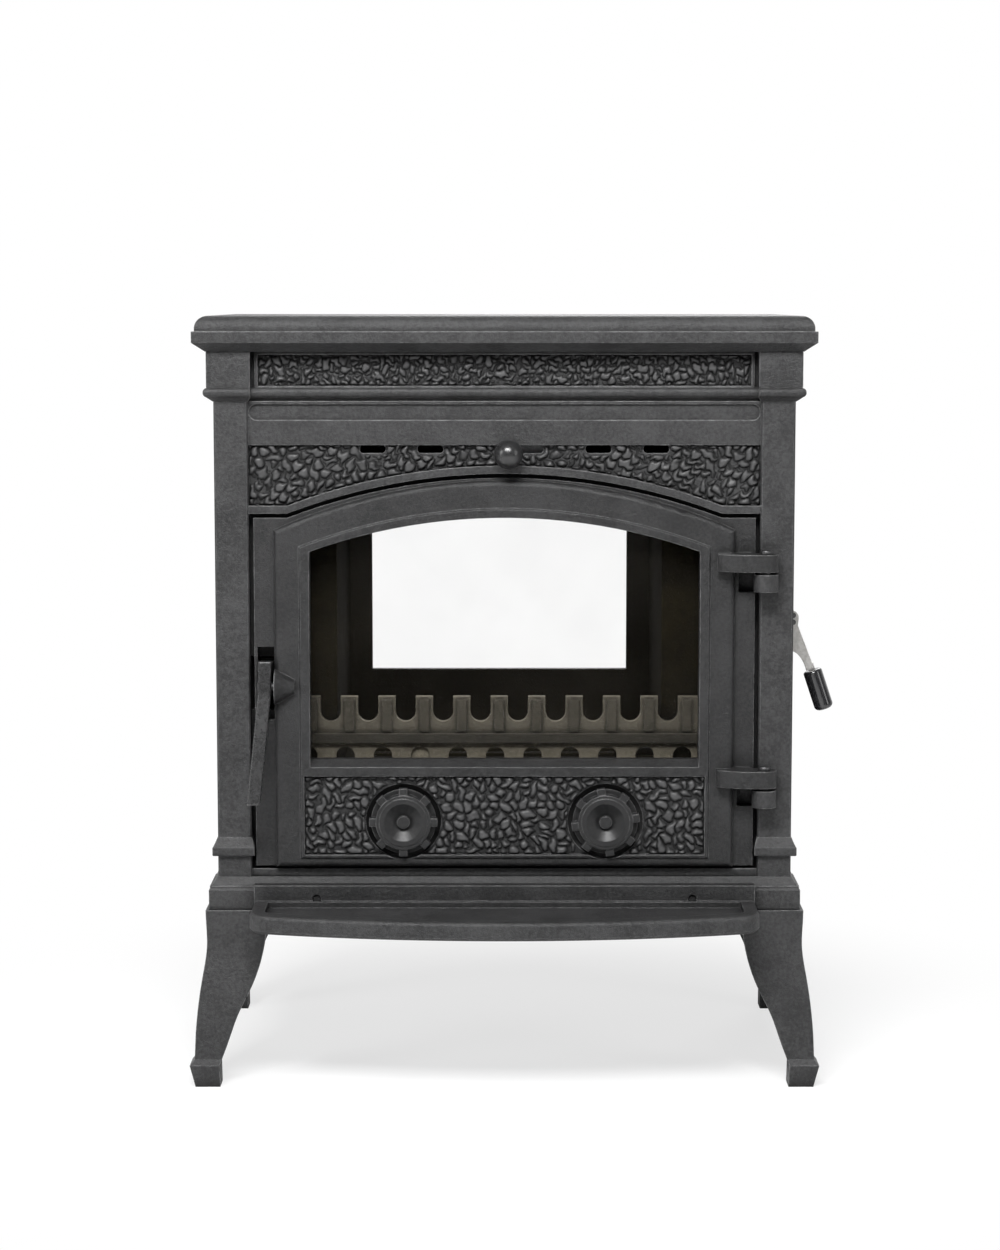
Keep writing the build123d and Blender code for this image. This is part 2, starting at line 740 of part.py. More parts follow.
def header():
    """Wall above the door with the frieze, the bead, the long panel, the spandrel and its rib."""
    bottom = FLOOR_Z + OPENING_SHOULDER
    wall = block(-PILLAR_IN, PILLAR_IN, BAND_Y, BACK_Y, bottom, HEAD_Z)
    cap_z = HEAD_Z - CAP_H
    frieze_half = PILLAR_IN - MOULD_INNER - FRIEZE_GAP
    floor = BAND_Y + RECESS
    gap = block(frieze_half, frieze_half + FRIEZE_GAP, BAND_Y - EPS, floor, cap_z, HEAD_Z + EPS)
    wall -= both(gap)
    field = frieze_half - FRIEZE_BORDER
    wall -= block(-field, field, BAND_Y - EPS, floor, cap_z + FRIEZE_LOW, HEAD_Z - FRIEZE_TOP)
    wall += both(rod_x(BAND_Y, cap_z - BEAD_R, BEAD_R, 0, PILLAR_IN - MOULD_INNER))
    groove = cap_z - 2 * BEAD_R
    wall -= block(-PILLAR_IN, PILLAR_IN, BAND_Y - EPS, BAND_Y + GROOVE_DEPTH, groove - GROOVE_H, groove)
    top = HEAD_Z - LONG_PANEL_DROP
    long_panel = rounded(PILLAR_IN - LONG_PANEL_IN, top - LONG_PANEL_H, top, BAND_Y + LONG_PANEL_DEPTH,
                         LONG_PANEL_H / 2 - THREAD_PLAY)
    wall -= extrude(long_panel, amount=LONG_PANEL_DEPTH + EPS, dir=(0, -1, 0))
    spandrel_top = slot_z() + SLOT_H / 2
    wall -= block(-PILLAR_IN - EPS, PILLAR_IN + EPS, BAND_Y - EPS, floor, bottom + RIB_W, spandrel_top)
    rib = shouldered(PILLAR_IN - RIB_W, FLOOR_Z, RIB_W, BAND_Y - RIB_PROUD, BACK_Y)
    wall += rib & block(-PILLAR_IN, PILLAR_IN, BAND_Y - RIB_PROUD, BACK_Y, bottom, HEAD_Z)
    return wall - shouldered(PILLAR_IN, FLOOR_Z, 0, BAND_Y - RIB_PROUD - EPS, BACK_Y + EPS)


def cut_slots(wall):
    """Air slots through the header, rounded at their ends."""
    z0, z1 = slot_z() - SLOT_H / 2, slot_z() + SLOT_H / 2
    for x in slot_centres():
        hole = rounded(SLOT_W / 2, z0, z1, BACK_Y + EPS, SLOT_H / 2 - SLOT_FLAT, x)
        wall -= extrude(hole, amount=WALL + 2 * EPS, dir=(0, -1, 0))
    hole = rounded(KNOB_SLOT_W / 2, z0, z1, BACK_Y + EPS, SLOT_H / 2 - SLOT_FLAT, KNOB_SLOT_X)
    return wall - extrude(hole, amount=WALL + 2 * EPS, dir=(0, -1, 0))


def door_seat():
    """Inner frame that the door's rope closes against, with the notch for the latch."""
    outer = shouldered(PILLAR_IN, FLOOR_Z, SEAT_JOIN, BACK_Y, SEAT_Y)
    outer &= block(-PILLAR_IN, PILLAR_IN, BACK_Y, SEAT_Y, FLOOR_Z, HEAD_Z)
    half = PILLAR_IN - SEAT_IN
    corner = FLOOR_Z + OPENING_SHOULDER - SEAT_TOP_IN
    crown = FLOOR_Z + OPENING_CROWN - SEAT_TOP_IN
    outer -= arch(half, FLOOR_Z + SEAT_BOTTOM, corner, crown, BACK_Y - EPS, SEAT_Y + EPS)
    z0, z1 = latch_notch()
    outer += block(-PILLAR_IN, -FRAME_HALF, SEAT_Y - EPS, SEAT_Y + KEEPER_T, z1, z1 + KEEPER_H)
    return outer - block(-PILLAR_IN - EPS, -FRAME_HALF, BACK_Y - EPS, SEAT_Y + EPS, z0, z1)


def latch_notch():
    """Low and high edge of the notch that the latch hook passes through."""
    return HANDLE_PIVOT_Z - NOTCH_BELOW, HANDLE_PIVOT_Z + HANDLE_TOP + NOTCH_ABOVE


def front_frame():
    """Front casting: two pillars, the header, the sill, the door seat and the fixed hinge knuckles."""
    shape = both(pillar()) + cut_slots(header()) + door_seat()
    shape += block(-PILLAR_IN, PILLAR_IN, BAND_Y, BACK_Y, FLOOR_Z, FLOOR_Z + SILL_H)
    for top in HINGE_TOPS:
        z1 = FLOOR_Z + top - KNUCKLE_H - HINGE_GAP
        z0 = z1 - KNUCKLE_H
        knuckle = rod_z(HINGE_X, HINGE_Y, KNUCKLE_R, z0, z1)
        x0, x1 = HINGE_X - KNUCKLE_R + KNUCKLE_FOOT, HINGE_X + KNUCKLE_R
        knuckle += block(x0, x1, HINGE_Y, -HALF_D + EPS, z0, z1)
        shape += knuckle
        shape -= rod_z(HINGE_X, HINGE_Y, HINGE_PIN_R + RUN, z0 - EPS, z1 + EPS)
    for x, z in rail_screw_places():
        shape -= rod_y(x, z, SCREW_R + THREAD_PLAY, BACK_Y - RAIL_SCREW_DEPTH - SCREW_END, BACK_Y + EPS)
    return shape


def rear_frame():
    """Rear casting: two pillars and a wall with the window and the flue outlet."""
    shape = mirror(both(pillar()), about=Plane.XZ)
    y0, y1 = REAR_INNER, REAR_FACE
    shape += block(-PILLAR_IN, PILLAR_IN, y0, y1, FLOOR_Z, HEAD_Z)
    z0, z1 = FLOOR_Z + WINDOW_LOW, FLOOR_Z + WINDOW_HIGH
    x = INNER_SHIFT
    shape -= block(x - WINDOW_HALF, x + WINDOW_HALF, y0 - EPS, y1 + EPS, z0, z1)
    shape -= rod_y(0, FLOOR_Z + FLUE_Z, FLUE_R - PIPE_STOP, y0 - EPS, y1 + EPS)
    for sx, sz in rear_screw_places():
        shape -= rod_y(sx, sz, SCREW_R + THREAD_PLAY, y1 - WINDOW_SCREW_DEPTH - SCREW_END, y1 + EPS)
    for sx, sz in flue_bolt_places():
        shape -= rod_y(sx, sz, FLUE_BOLT_R + THREAD_PLAY, y0 - EPS, y1 + EPS)
    return shape


def rear_screw_places():
    """Screws of the window frame, three along its top and three along its bottom."""
    out = WINDOW_LAP + (WINDOW_FRAME_W - WINDOW_LAP) / 2
    z0, z1 = FLOOR_Z + WINDOW_LOW - out, FLOOR_Z + WINDOW_HIGH + out
    x = WINDOW_HALF - WINDOW_SCREW_IN
    return [(INNER_SHIFT + k * x, z) for z in (z0, z1) for k in (-1, 0, 1)]


def flue_bolt_places():
    r = (FLUE_R + FLUE_WALL + FLUE_FLANGE_R) / 2
    turn = 2 * math.pi / FLUE_BOLTS
    return [(r * math.cos(turn * (k + 0.5)), FLOOR_Z + FLUE_Z + r * math.sin(turn * (k + 0.5)))
            for k in range(FLUE_BOLTS)]


def side_panel():
    """Right side casting with a framed field on its outer face."""
    y = HALF_D - PILLAR_D
    shape = block(SIDE_IN, SIDE_OUT, -y, y, FLOOR_Z, HEAD_Z)
    half = SIDE_FIELD_W / 2
    z0, z1 = FLOOR_Z + SIDE_FIELD_LOW, HEAD_Z - SIDE_FIELD_HIGH
    frame = block(SIDE_OUT - EPS, SIDE_OUT + SIDE_FRAME_PROUD, -half, half, z0, z1)
    rim = frame.faces().sort_by(Axis.X)[-1].edges()
    frame = chamfer(rim, SIDE_FRAME_EDGE)
    w = SIDE_FRAME_W
    frame -= block(SIDE_OUT, SIDE_OUT + 2 * SIDE_FRAME_PROUD, -half + w, half - w, z0 + w, z1 - w)
    return shape + frame


def right_side_panel():
    shape = side_panel()
    return shape - rod_x(ROD_Y, ROD_Z, ROD_R + RUN, SIDE_IN - EPS, SIDE_OUT + EPS) - bracket_screw_holes()


def bracket_screw_holes():
    deep = SIDE_OUT - BRACKET_SCREW_DEPTH - SCREW_END
    r = SCREW_R + THREAD_PLAY
    holes = [rod_x(BRACKET_SCREW_Y, z, r, deep, SIDE_OUT + EPS) for z in bracket_screw_z()]
    return holes[0] + holes[1]


# Top
def top_plate():
    """Moulded top: sloped underside, band, small ledge and quarter round, hollow below."""
    px, py = HALF_W + TOP_OVERHANG, HALF_D + TOP_OVERHANG
    base_x, base_y = px - TOP_COVE_IN, py - TOP_COVE_IN
    z1 = HEAD_Z + TOP_COVE_H
    z2 = z1 + TOP_BAND_H
    top = z2 + TOP_LEDGE + TOP_ROUND
    low = Pos(0, 0, HEAD_Z) * Rectangle(2 * base_x, 2 * base_y)
    high = Pos(0, 0, z1) * Rectangle(2 * px, 2 * py)
    body = loft([low, high]) + block(-px, px, -py, py, z1, z2)
    ix, iy = px - TOP_LEDGE, py - TOP_LEDGE
    upper = block(-ix, ix, -iy, iy, z2, top)
    upper = fillet(upper.faces().sort_by(Axis.Z)[-1].edges(), TOP_ROUND)
    body += upper
    hx, hy = PILLAR_IN - TOP_HOLLOW_IN, HALF_D - PILLAR_D + TOP_HOLLOW_OUT
    body -= block(-hx, hx, -hy, hy, HEAD_Z - EPS, top - TOP_SKIN)
    body += both_ties(top)
    for x, y in tie_places():
        body -= rod_z(x, y, TIE_R + HOLE_PLAY, HEAD_Z - EPS, HEAD_Z + TIE_UP + EPS)
    body -= rod_z(0, BLANK_Y, FLUE_R, HEAD_Z, top + EPS)
    body -= rod_z(0, BLANK_Y, BLANK_R, top - BLANK_T, top + EPS)
    for x in blank_screw_x():
        body -= rod_z(x, BLANK_Y, SCREW_R + THREAD_PLAY, top - TOP_SKIN + SCREW_END, top)
    return body


def both_ties(top):
    bosses = [rod_z(x, y, TIE_BOSS_R, HEAD_Z, top - TOP_SKIN + EPS) for x, y in tie_places()]
    shape = bosses[0]
    for boss in bosses[1:]:
        shape += boss
    return shape


def top_z():
    return HEAD_Z + TOP_COVE_H + TOP_BAND_H + TOP_LEDGE + TOP_ROUND


def blank_screw_x():
    r = (FLUE_R + BLANK_R) / 2
    return (-r, r)


def blanking_plate():
    """Disc that closes the top flue outlet, flush with the top."""
    disc = rod_z(0, BLANK_Y, BLANK_R - CLEAR, top_z() - BLANK_T, top_z())
    disc += rod_z(0, BLANK_Y, FLUE_R - EPS, top_z() - TOP_SKIN, top_z() - BLANK_T + BLANK_LAP)
    for x in blank_screw_x():
        disc -= rod_z(x, BLANK_Y, SCREW_R + CLEAR, top_z() - BLANK_T - EPS, top_z() + EPS)
        disc -= rod_z(x, BLANK_Y, BLANK_HEAD_R + CLEAR, top_z() - BLANK_HEAD_DEEP, top_z() + EPS)
    return disc


def blanking_screws():
    out = []
    for x in blank_screw_x():
        seat = top_z() - BLANK_HEAD_DEEP
        shank = rod_z(x, BLANK_Y, SCREW_R, top_z() - TOP_SKIN + EPS, seat)
        out.append(shank + rod_z(x, BLANK_Y, BLANK_HEAD_R, seat, seat + BLANK_HEAD_H))
    return out


# Flue
def flue_collar():
    """Flanged collar on the rear outlet."""
    y0 = REAR_FACE
    z = FLOOR_Z + FLUE_Z
    shape = rod_y(0, z, FLUE_FLANGE_R, y0, y0 + FLUE_FLANGE_T)
    shape += rod_y(0, z, FLUE_R + FLUE_WALL, y0, y0 + FLUE_L)
    shape -= rod_y(0, z, FLUE_R, y0 - EPS, y0 + FLUE_L + EPS)
    for x, bz in flue_bolt_places():
        shape -= rod_y(x, bz, FLUE_BOLT_R + HOLE_PLAY, y0 - EPS, y0 + FLUE_FLANGE_T + EPS)
    return shape


def flue_bolts():
    y0 = REAR_FACE
    head, tip = y0 + FLUE_FLANGE_T, y0 - WALL + FLUE_BOLT_SHORT
    return [screw_y(x, z, FLUE_BOLT_R, head, tip, FLUE_BOLT_HEAD_R, FLUE_BOLT_HEAD_H)
            for x, z in flue_bolt_places()]


# Rear window
def window_ring(inner, outer, y0, y1):
    """Rectangular ring round the rear window, by its distances from the opening."""
    z0, z1 = FLOOR_Z + WINDOW_LOW, FLOOR_Z + WINDOW_HIGH
    x0, x1 = INNER_SHIFT - WINDOW_HALF, INNER_SHIFT + WINDOW_HALF
    full = block(x0 - outer, x1 + outer, y0, y1, z0 - outer, z1 + outer)
    return full - block(x0 - inner, x1 + inner, y0 - EPS, y1 + EPS, z0 - inner, z1 + inner)


def rear_gasket():
    return window_ring(0, WINDOW_LAP, REAR_FACE, REAR_FACE + GASKET_T)


def rear_glass():
    y0 = REAR_FACE + GASKET_T
    lap = WINDOW_LAP
    z0, z1 = FLOOR_Z + WINDOW_LOW - lap, FLOOR_Z + WINDOW_HIGH + lap
    x0, x1 = INNER_SHIFT - WINDOW_HALF - lap, INNER_SHIFT + WINDOW_HALF + lap
    return block(x0, x1, y0, y0 + GLASS_T, z0, z1)


def rear_glass_frame():
    """Retaining frame: a rebated ring that clamps the glass to the wall."""
    y0 = REAR_FACE
    depth = GASKET_T + GLASS_T
    shape = window_ring(WINDOW_LAP + WINDOW_PLAY, WINDOW_FRAME_W, y0, y0 + depth)
    shape += window_ring(WINDOW_FRAME_LAP, WINDOW_FRAME_W, y0 + depth, y0 + depth + WINDOW_FRAME_T)
    for x, z in rear_screw_places():
        shape -= rod_y(x, z, SCREW_R + CLEAR, y0 - EPS, y0 + depth + WINDOW_FRAME_T + EPS)
    return shape


def rear_glass_screws():
    head = REAR_FACE + GASKET_T + GLASS_T + WINDOW_FRAME_T
    tip = REAR_FACE - WINDOW_SCREW_DEPTH
    return [screw_y(x, z, SCREW_R, head, tip, SCREW_HEAD_R, SCREW_HEAD_H) for x, z in rear_screw_places()]


# Firebox
def cheek():
    """Right firebox cheek with front and rear wings and the ledge for the grate."""
    x0, x1 = CHEEK_HALF, CHEEK_HALF + CHEEK_T
    y0, y1 = CHEEK_Y, REAR_INNER
    top = FLOOR_Z + CHEEK_TOP
    shape = block(x0, x1, y0, y1, FLOOR_Z, top)
    reach = PILLAR_IN - SEAT_IN - WING_GAP
    shape += block(x1 - EPS, reach, y0, y0 + CHEEK_T, FLOOR_Z, top)
    shape += block(x1 - EPS, reach, y1 - CHEEK_T, y1, FLOOR_Z, top)
    z = FLOOR_Z + LEDGE_Z
    shape += block(x0 - LEDGE_W, x0 + EPS, y0, y1, z - LEDGE_T, z)
    return shape


def cheek_right():
    shape = Pos(INNER_SHIFT, 0, 0) * cheek()
    return shape - rod_x(ROD_Y, ROD_Z, ROD_R + EPS, 0, HALF_W)


def cheek_left():
    return Pos(INNER_SHIFT, 0, 0) * mirror(cheek(), about=Plane.YZ)


def baffle_plate():
    """Throat plate over the fire, resting on the cheeks."""
    half = CHEEK_HALF + CHEEK_T
    y0, y1 = CHEEK_Y + BAFFLE_THROAT, REAR_INNER
    z = FLOOR_Z + CHEEK_TOP
    return Pos(INNER_SHIFT, 0, 0) * block(-half, half, y0, y1, z, z + BAFFLE_T)


def grate():
    """Fixed bottom grate: a slotted plate on the cheeks' ledges."""
    half = CHEEK_HALF - GRATE_PLAY
    y0, y1 = CHEEK_Y, REAR_INNER
    z = FLOOR_Z + LEDGE_Z
    plate = block(-half, half, y0, y1, z, z + GRATE_T)
    for x in grate_slot_x():
        plate -= block(x - GRATE_SLOT_W / 2, x + GRATE_SLOT_W / 2, y0 + GRATE_END, y1 - GRATE_END,
                       z - EPS, z + GRATE_T + EPS)
    return Pos(INNER_SHIFT, 0, 0) * plate


def grate_slot_x():
    reach = CHEEK_HALF - GRATE_SLOT_IN
    step = 2 * reach / (GRATE_SLOTS - 1)
    return [-reach + k * step for k in range(GRATE_SLOTS)]


def riddling_plate():
    """Barred plate that slides on the grate to shake the ash through."""
    y0, y1 = CHEEK_Y + RIDDLE_END, REAR_INNER - RIDDLE_END
    x0 = -CHEEK_HALF + RIDDLE_GAP
    x1 = CHEEK_HALF - RIDDLE_GAP - ROD_TRAVEL
    z1 = RIDDLE_Z
    z0 = z1 - RIDDLE_T
    plate = block(x0, x1, y0, y1, z0, z1)
    count = RIDDLE_BARS
    pitch = (y1 - y0 - RIDDLE_BAR_W) / count
    for k in range(count):
        low = y0 + RIDDLE_BAR_W + k * pitch
        plate -= block(x0 + RIDDLE_RIM, x1 - RIDDLE_RIM, low, low + pitch - RIDDLE_BAR_W, z0 - EPS, z1 + EPS)
    plate = Pos(INNER_SHIFT, 0, 0) * plate
    lug_x = INNER_SHIFT + x1
    lug = block(lug_x - LUG_L, lug_x, ROD_Y - LUG_HALF, ROD_Y + LUG_HALF, z0, ROD_Z + LUG_UP)
    return plate + lug - rod_x(ROD_Y, ROD_Z, ROD_R + RUN, lug_x - LUG_HOLE, lug_x + EPS)


def fence_centres():
    half = (FENCE_TINES - 1) / 2
    return [(k - half) * FENCE_PITCH for k in range(FENCE_TINES)]


def log_fence():
    """Upright log fence: a bar with round-bottomed notches between its tines."""
    y1 = CHEEK_Y
    y0 = y1 - FENCE_T
    z0 = FLOOR_Z + FIRE_FRONT_TOP
    bar = z0 + FENCE_BAR_H
    top = bar + FENCE_TINE_H
    centres = fence_centres()
    half = centres[-1] + FENCE_PITCH / 2 - FENCE_END_GAP
    shape = block(-half, half, y0, y1, z0, top)
    gap = FENCE_PITCH - FENCE_TINE_W
    for x in centres[:-1]:
        mid = x + FENCE_PITCH / 2
        shape -= block(mid - gap / 2, mid + gap / 2, y0 - EPS, y1 + EPS, bar + gap / 2, top + EPS)
        shape -= rod_y(mid, bar + gap / 2, gap / 2, y0 - EPS, y1 + EPS)
    for x in centres:
        shape += block(x - FENCE_RIB_W / 2, x + FENCE_RIB_W / 2, y0 - FENCE_RIB_PROUD, y0 + EPS,
                       z0 + FENCE_RIB_LOW, top - FENCE_RIB_TOP)
    shape += block(-half, half, y0 - FENCE_FOOT_PROUD, y0 + EPS, z0, z0 + FENCE_FOOT_H)
    return Pos(INNER_SHIFT, 0, 0) * shape


def fire_front():
    """Low plate in front of the grate, pierced by a row of arched holes."""
    y1 = CHEEK_Y
    y0 = y1 - FIRE_FRONT_T
    z0, z1 = FLOOR_Z + FIRE_FRONT_LOW, FLOOR_Z + FIRE_FRONT_TOP
    centres = fence_centres()
    half = centres[-1] + FENCE_PITCH / 2 - FENCE_END_GAP
    shape = block(-half, half, y0, y1, z0, z1)
    arch_top = z1 - FIRE_HOLE_TOP
    r = FIRE_HOLE_W / 2
    for k, x in enumerate(centres):
        x = x - FIRE_HOLE_SHIFT
        deep = y0 + FIRE_HOLE_BLIND if k == 3 else y1 + EPS
        hole = block(x - r, x + r, y0 - EPS, deep, z0 + FIRE_HOLE_LOW, arch_top - r)
        shape -= hole + rod_y(x, arch_top - r, r, y0 - EPS, deep)
    return Pos(INNER_SHIFT, 0, 0) * shape


# Ash pan and ash lip
def pan_runner_x():
    return (-PAN_W / 2 + RUNNER_W, PAN_W / 2 - RUNNER_W)


def ash_pan():
    """Sheet steel pan with a turned-out grip on its front edge."""
    y0 = SEAT_Y + PAN_FRONT_GAP
    y1 = y0 + PAN_D
    z0 = FLOOR_Z + RUNNER_H
    half = PAN_W / 2
    pan = block(-half, half, y0, y1, z0, z0 + PAN_H)
    inner = half - PAN_WALL
    pan -= block(-inner, inner, y0 + PAN_WALL, y1 - PAN_WALL, z0 + PAN_WALL, z0 + PAN_H + EPS)
    return pan + block(-half, half, y0 - PAN_GRIP, y0 + PAN_WALL, z0 + PAN_H - PAN_WALL, z0 + PAN_H)


def lip_outline(y_rear, grow, z):
    """Plan outline of the ash lip: straight sides with round corners and a bowed front."""
    half = LIP_HALF + grow
    y_end = -HALF_D - PLINTH_PROUD - LIP_REACH + LIP_BOW - grow
    y_mid = -HALF_D - PLINTH_PROUD - LIP_REACH - grow
    a, b = (-half, y_rear, z), (half, y_rear, z)
    c, d = (half, y_end, z), (-half, y_end, z)
    face = make_face([Line(a, b), Line(b, c), ThreePointArc(c, (0, y_mid, z), d), Line(d, a)])
    return fillet(face.vertices().sort_by(Axis.Y)[:2], LIP_CORNER + grow)


def ash_lip():
    """Cast tray in front of the door, with a raised rear ledge and a round rim."""
    y_wall = -HALF_D - PLINTH_PROUD
    low = LIP_FRONT_TOP - LIP_FRONT_H
    body = extrude(lip_outline(y_wall, 0, low), amount=LIP_FRONT_H, dir=(0, 0, 1))
    body = fillet(body.faces().sort_by(Axis.Z)[-1].edges().sort_by(Axis.Y)[:-1], LIP_ROUND)
    body = chamfer(body.faces().sort_by(Axis.Z)[0].edges().sort_by(Axis.Y)[:-1], LIP_CHAMFER)
    half = LIP_HALF
    body += block(-half, half, y_wall - LIP_REAR_W, y_wall, low, LIP_REAR_TOP)
    plan = lip_outline(y_wall - LIP_REAR_W - LIP_LEDGE_GAP, -LIP_RIM_W, LIP_FRONT_TOP - LIP_DISH)
    body -= extrude(plan, amount=LIP_FRONT_H, dir=(0, 0, 1))
    body -= both(block(half - LIP_NOTCH, half + EPS, y_wall - LEG_PROUD - EPS, y_wall + EPS, low - EPS,
                       LEG_H + CLEAR))
    for x in lip_bolt_x():
        body -= rod_y(x, LIP_BOLT_Z, LIP_BOLT_R + HOLE_PLAY, y_wall - LIP_REAR_W - EPS, y_wall + EPS)
    return body


def lip_bolt_x():
    return (-LIP_HALF * LIP_BOLT_SHARE, LIP_HALF * LIP_BOLT_SHARE)


def ash_lip_bolts():
    """Bolts from inside the base into the ash lip."""
    y_in = -HALF_D + BASE_WALL
    y_tip = -HALF_D - PLINTH_PROUD - LIP_REAR_W + LIP_BOLT_SHORT
    return [screw_y(x, LIP_BOLT_Z, LIP_BOLT_R, y_in, y_tip, LIP_BOLT_HEAD_R, LIP_BOLT_HEAD_H)
            for x in lip_bolt_x()]


# Door
def door_flange():
    """Door flange, which fills the opening less a gap on every side."""
    flange = shouldered(PILLAR_IN, FLOOR_Z + DOOR_BOTTOM - DOOR_GAP, -DOOR_GAP, BAND_Y, DOOR_BACK_Y)
    x0 = HANDLE_X - LATCH_SLOT_W / 2
    z0, z1 = HANDLE_PIVOT_Z - LATCH_SLOT_LOW, HANDLE_PIVOT_Z + LATCH_SLOT_HIGH
    flange -= block(x0, x0 + LATCH_SLOT_W, BAND_Y - EPS, DOOR_BACK_Y + EPS, z0, z1)
    for top in HINGE_TOPS:
        z1 = FLOOR_Z + top - KNUCKLE_H
        notch = HINGE_X - KNUCKLE_R - HINGE_NOTCH
        flange -= block(notch, PILLAR_IN, BAND_Y - EPS, DOOR_BACK_Y + EPS, z1 - KNUCKLE_H - 2 * HINGE_GAP, z1)
    return flange


def door_frame():
    """Door casting: flange, raised arched frame, glass opening, air panel, hinge arms and handle boss."""
    bottom = FLOOR_Z + DOOR_BOTTOM
    frame = arch(FRAME_HALF, bottom, FLOOR_Z + FRAME_CORNER, FLOOR_Z + FRAME_CROWN, FRAME_Y + BEAD_PROUD,
                 DOOR_BACK_Y)
    front = frame.faces().sort_by(Axis.Y)[0].edges()
    frame = fillet(front, FRAME_ROUND)
    shape = door_flange() + frame
    bead = arch(BEAD_HALF, FLOOR_Z + PANEL_BOTTOM - BEAD_BELOW_PANEL, FLOOR_Z + BEAD_CORNER,
                FLOOR_Z + BEAD_CROWN, FRAME_Y, DOOR_BACK_Y)
    bead = chamfer(bead.faces().sort_by(Axis.Y)[0].edges(), BEAD_EDGE)
    shape += bead
    shape -= arch(GLASS_HALF, FLOOR_Z + GLASS_BOTTOM, FLOOR_Z + GLASS_CORNER, FLOOR_Z + GLASS_CROWN,
                  FRAME_Y - EPS, DOOR_BACK_Y + EPS)
    shape -= sill_wedge()
    shape -= block(-PANEL_HALF, PANEL_HALF, FRAME_Y - EPS, PANEL_Y, FLOOR_Z + PANEL_BOTTOM,
                   FLOOR_Z + PANEL_TOP)
    back = PANEL_HALF - PANEL_BACK_IN
    shape -= block(-back, back, PANEL_Y + PANEL_SKIN, DOOR_BACK_Y + EPS,
                   FLOOR_Z + PANEL_BOTTOM + PANEL_BACK_LOW, FLOOR_Z + PANEL_TOP - PANEL_BACK_HIGH)
    for side in (-1, 1):
        x, z = side * WHEEL_X, FLOOR_Z + WHEEL_Z
        shape += rod_y(x, z, WHEEL_POCKET_R, POCKET_Y, DOOR_BACK_Y - EPS)
        shape -= rod_y(x, z, WHEEL_POCKET_R, FRAME_Y - EPS, POCKET_Y)
        shape -= rod_y(x, z, STUD_R + RUN, POCKET_Y - EPS, DOOR_BACK_Y + EPS)
        for k in range(AIR_HOLES):
            turn = 2 * math.pi * (k + 0.5) / AIR_HOLES
            hx, hz = x + AIR_HOLE_PCD_R * math.cos(turn), z + AIR_HOLE_PCD_R * math.sin(turn)
            shape -= rod_y(hx, hz, AIR_HOLE_R, POCKET_Y - EPS, DOOR_BACK_Y + EPS)
    for top in HINGE_TOPS:
        shape += hinge_arm(FLOOR_Z + top)
    shape = shape + handle_boss()
    pin_end = -FRAME_HALF + BOSS_L - PIN_SHORT
    shape -= rod_x(HANDLE_PIVOT_Y, HANDLE_PIVOT_Z, HANDLE_PIN_R + RUN, HANDLE_X - EPS, pin_end)
    for x, z in clip_places():
        deep = DOOR_BACK_Y - WINDOW_SCREW_DEPTH - SCREW_END
        shape -= rod_y(x, z, CLIP_SCREW_R + THREAD_PLAY, deep, DOOR_BACK_Y + EPS)
    return shape


def sill_wedge():
    """Slope that sheds light and dust off the lower edge of the glass opening."""
    z1 = FLOOR_Z + GLASS_BOTTOM
    z0 = z1 - SILL_SLOPE
    y0, y1 = FRAME_Y - EPS, FRAME_Y + SILL_DEPTH
    x = -GLASS_HALF
    pts = [(x, y0, z0), (x, y1, z1), (x, y1, z1 + EPS), (x, y0, z1 + EPS)]
    face = make_face([Line(a, b) for a, b in zip(pts, pts[1:] + pts[:1])])
    return extrude(face, amount=2 * GLASS_HALF, dir=(1, 0, 0))


def hinge_arm(top):
    """Arm from the door's frame to its knuckle on the pin."""
    z0 = top - KNUCKLE_H
    y_front = HINGE_Y - KNUCKLE_R
    x0 = HINGE_X - ARM_REACH
    x1 = HINGE_X
    plan = [(x0, BAND_Y + EPS), (x0, FRAME_Y - ARM_LOW), (x0 + ARM_EDGE, FRAME_Y - ARM_LOW - ARM_EDGE),
            (x1 - ARM_BEND, y_front + ARM_FALL), (x1, y_front), (x1, HINGE_Y + KNUCKLE_R),
            (x1 - ARM_NECK, HINGE_Y + KNUCKLE_R), (x1 - ARM_NECK - ARM_EDGE, BAND_Y + EPS)]
    pts = [(x, y, z0) for x, y in plan]
    face = make_face([Line(a, b) for a, b in zip(pts, pts[1:] + pts[:1])])
    arm = extrude(face, amount=KNUCKLE_H, dir=(0, 0, 1)) + rod_z(x1, HINGE_Y, KNUCKLE_R, z0, top)
    return arm - rod_z(x1, HINGE_Y, HINGE_PIN_R + RUN, z0 - EPS, top + EPS)


def handle_boss():
    """Round swelling on the frame's side that carries the handle's pivot."""
    x0, x1 = -FRAME_HALF, -FRAME_HALF + BOSS_L
    cone = Rot(0, 90, 0) * Cone(BOSS_R, BOSS_TIP_R, x1 - x0)
    cone = Pos((x0 + x1) / 2, HANDLE_PIVOT_Y, HANDLE_PIVOT_Z) * cone
    return cone & block(x0, x1, -BODY_D, DOOR_BACK_Y, 0, HEAD_Z)


def clip_places():
    """Glass clip screws: two on each side and two below."""
    x = GLASS_HALF + GLASS_LAP + CLIP_OUT
    z0 = FLOOR_Z + GLASS_BOTTOM - GLASS_LAP - CLIP_OUT
    low, high = FLOOR_Z + GLASS_BOTTOM + CLIP_LOW, FLOOR_Z + GLASS_CORNER - CLIP_HIGH
    return [(-x, low), (x, low), (-x, high), (x, high), (-GLASS_HALF / 2, z0), (GLASS_HALF / 2, z0)]


def glass_outline(grow, y0, y1):
    corner, crown = FLOOR_Z + GLASS_CORNER, FLOOR_Z + GLASS_CROWN
    return arch(GLASS_HALF, FLOOR_Z + GLASS_BOTTOM, corner, crown, y0, y1, grow)


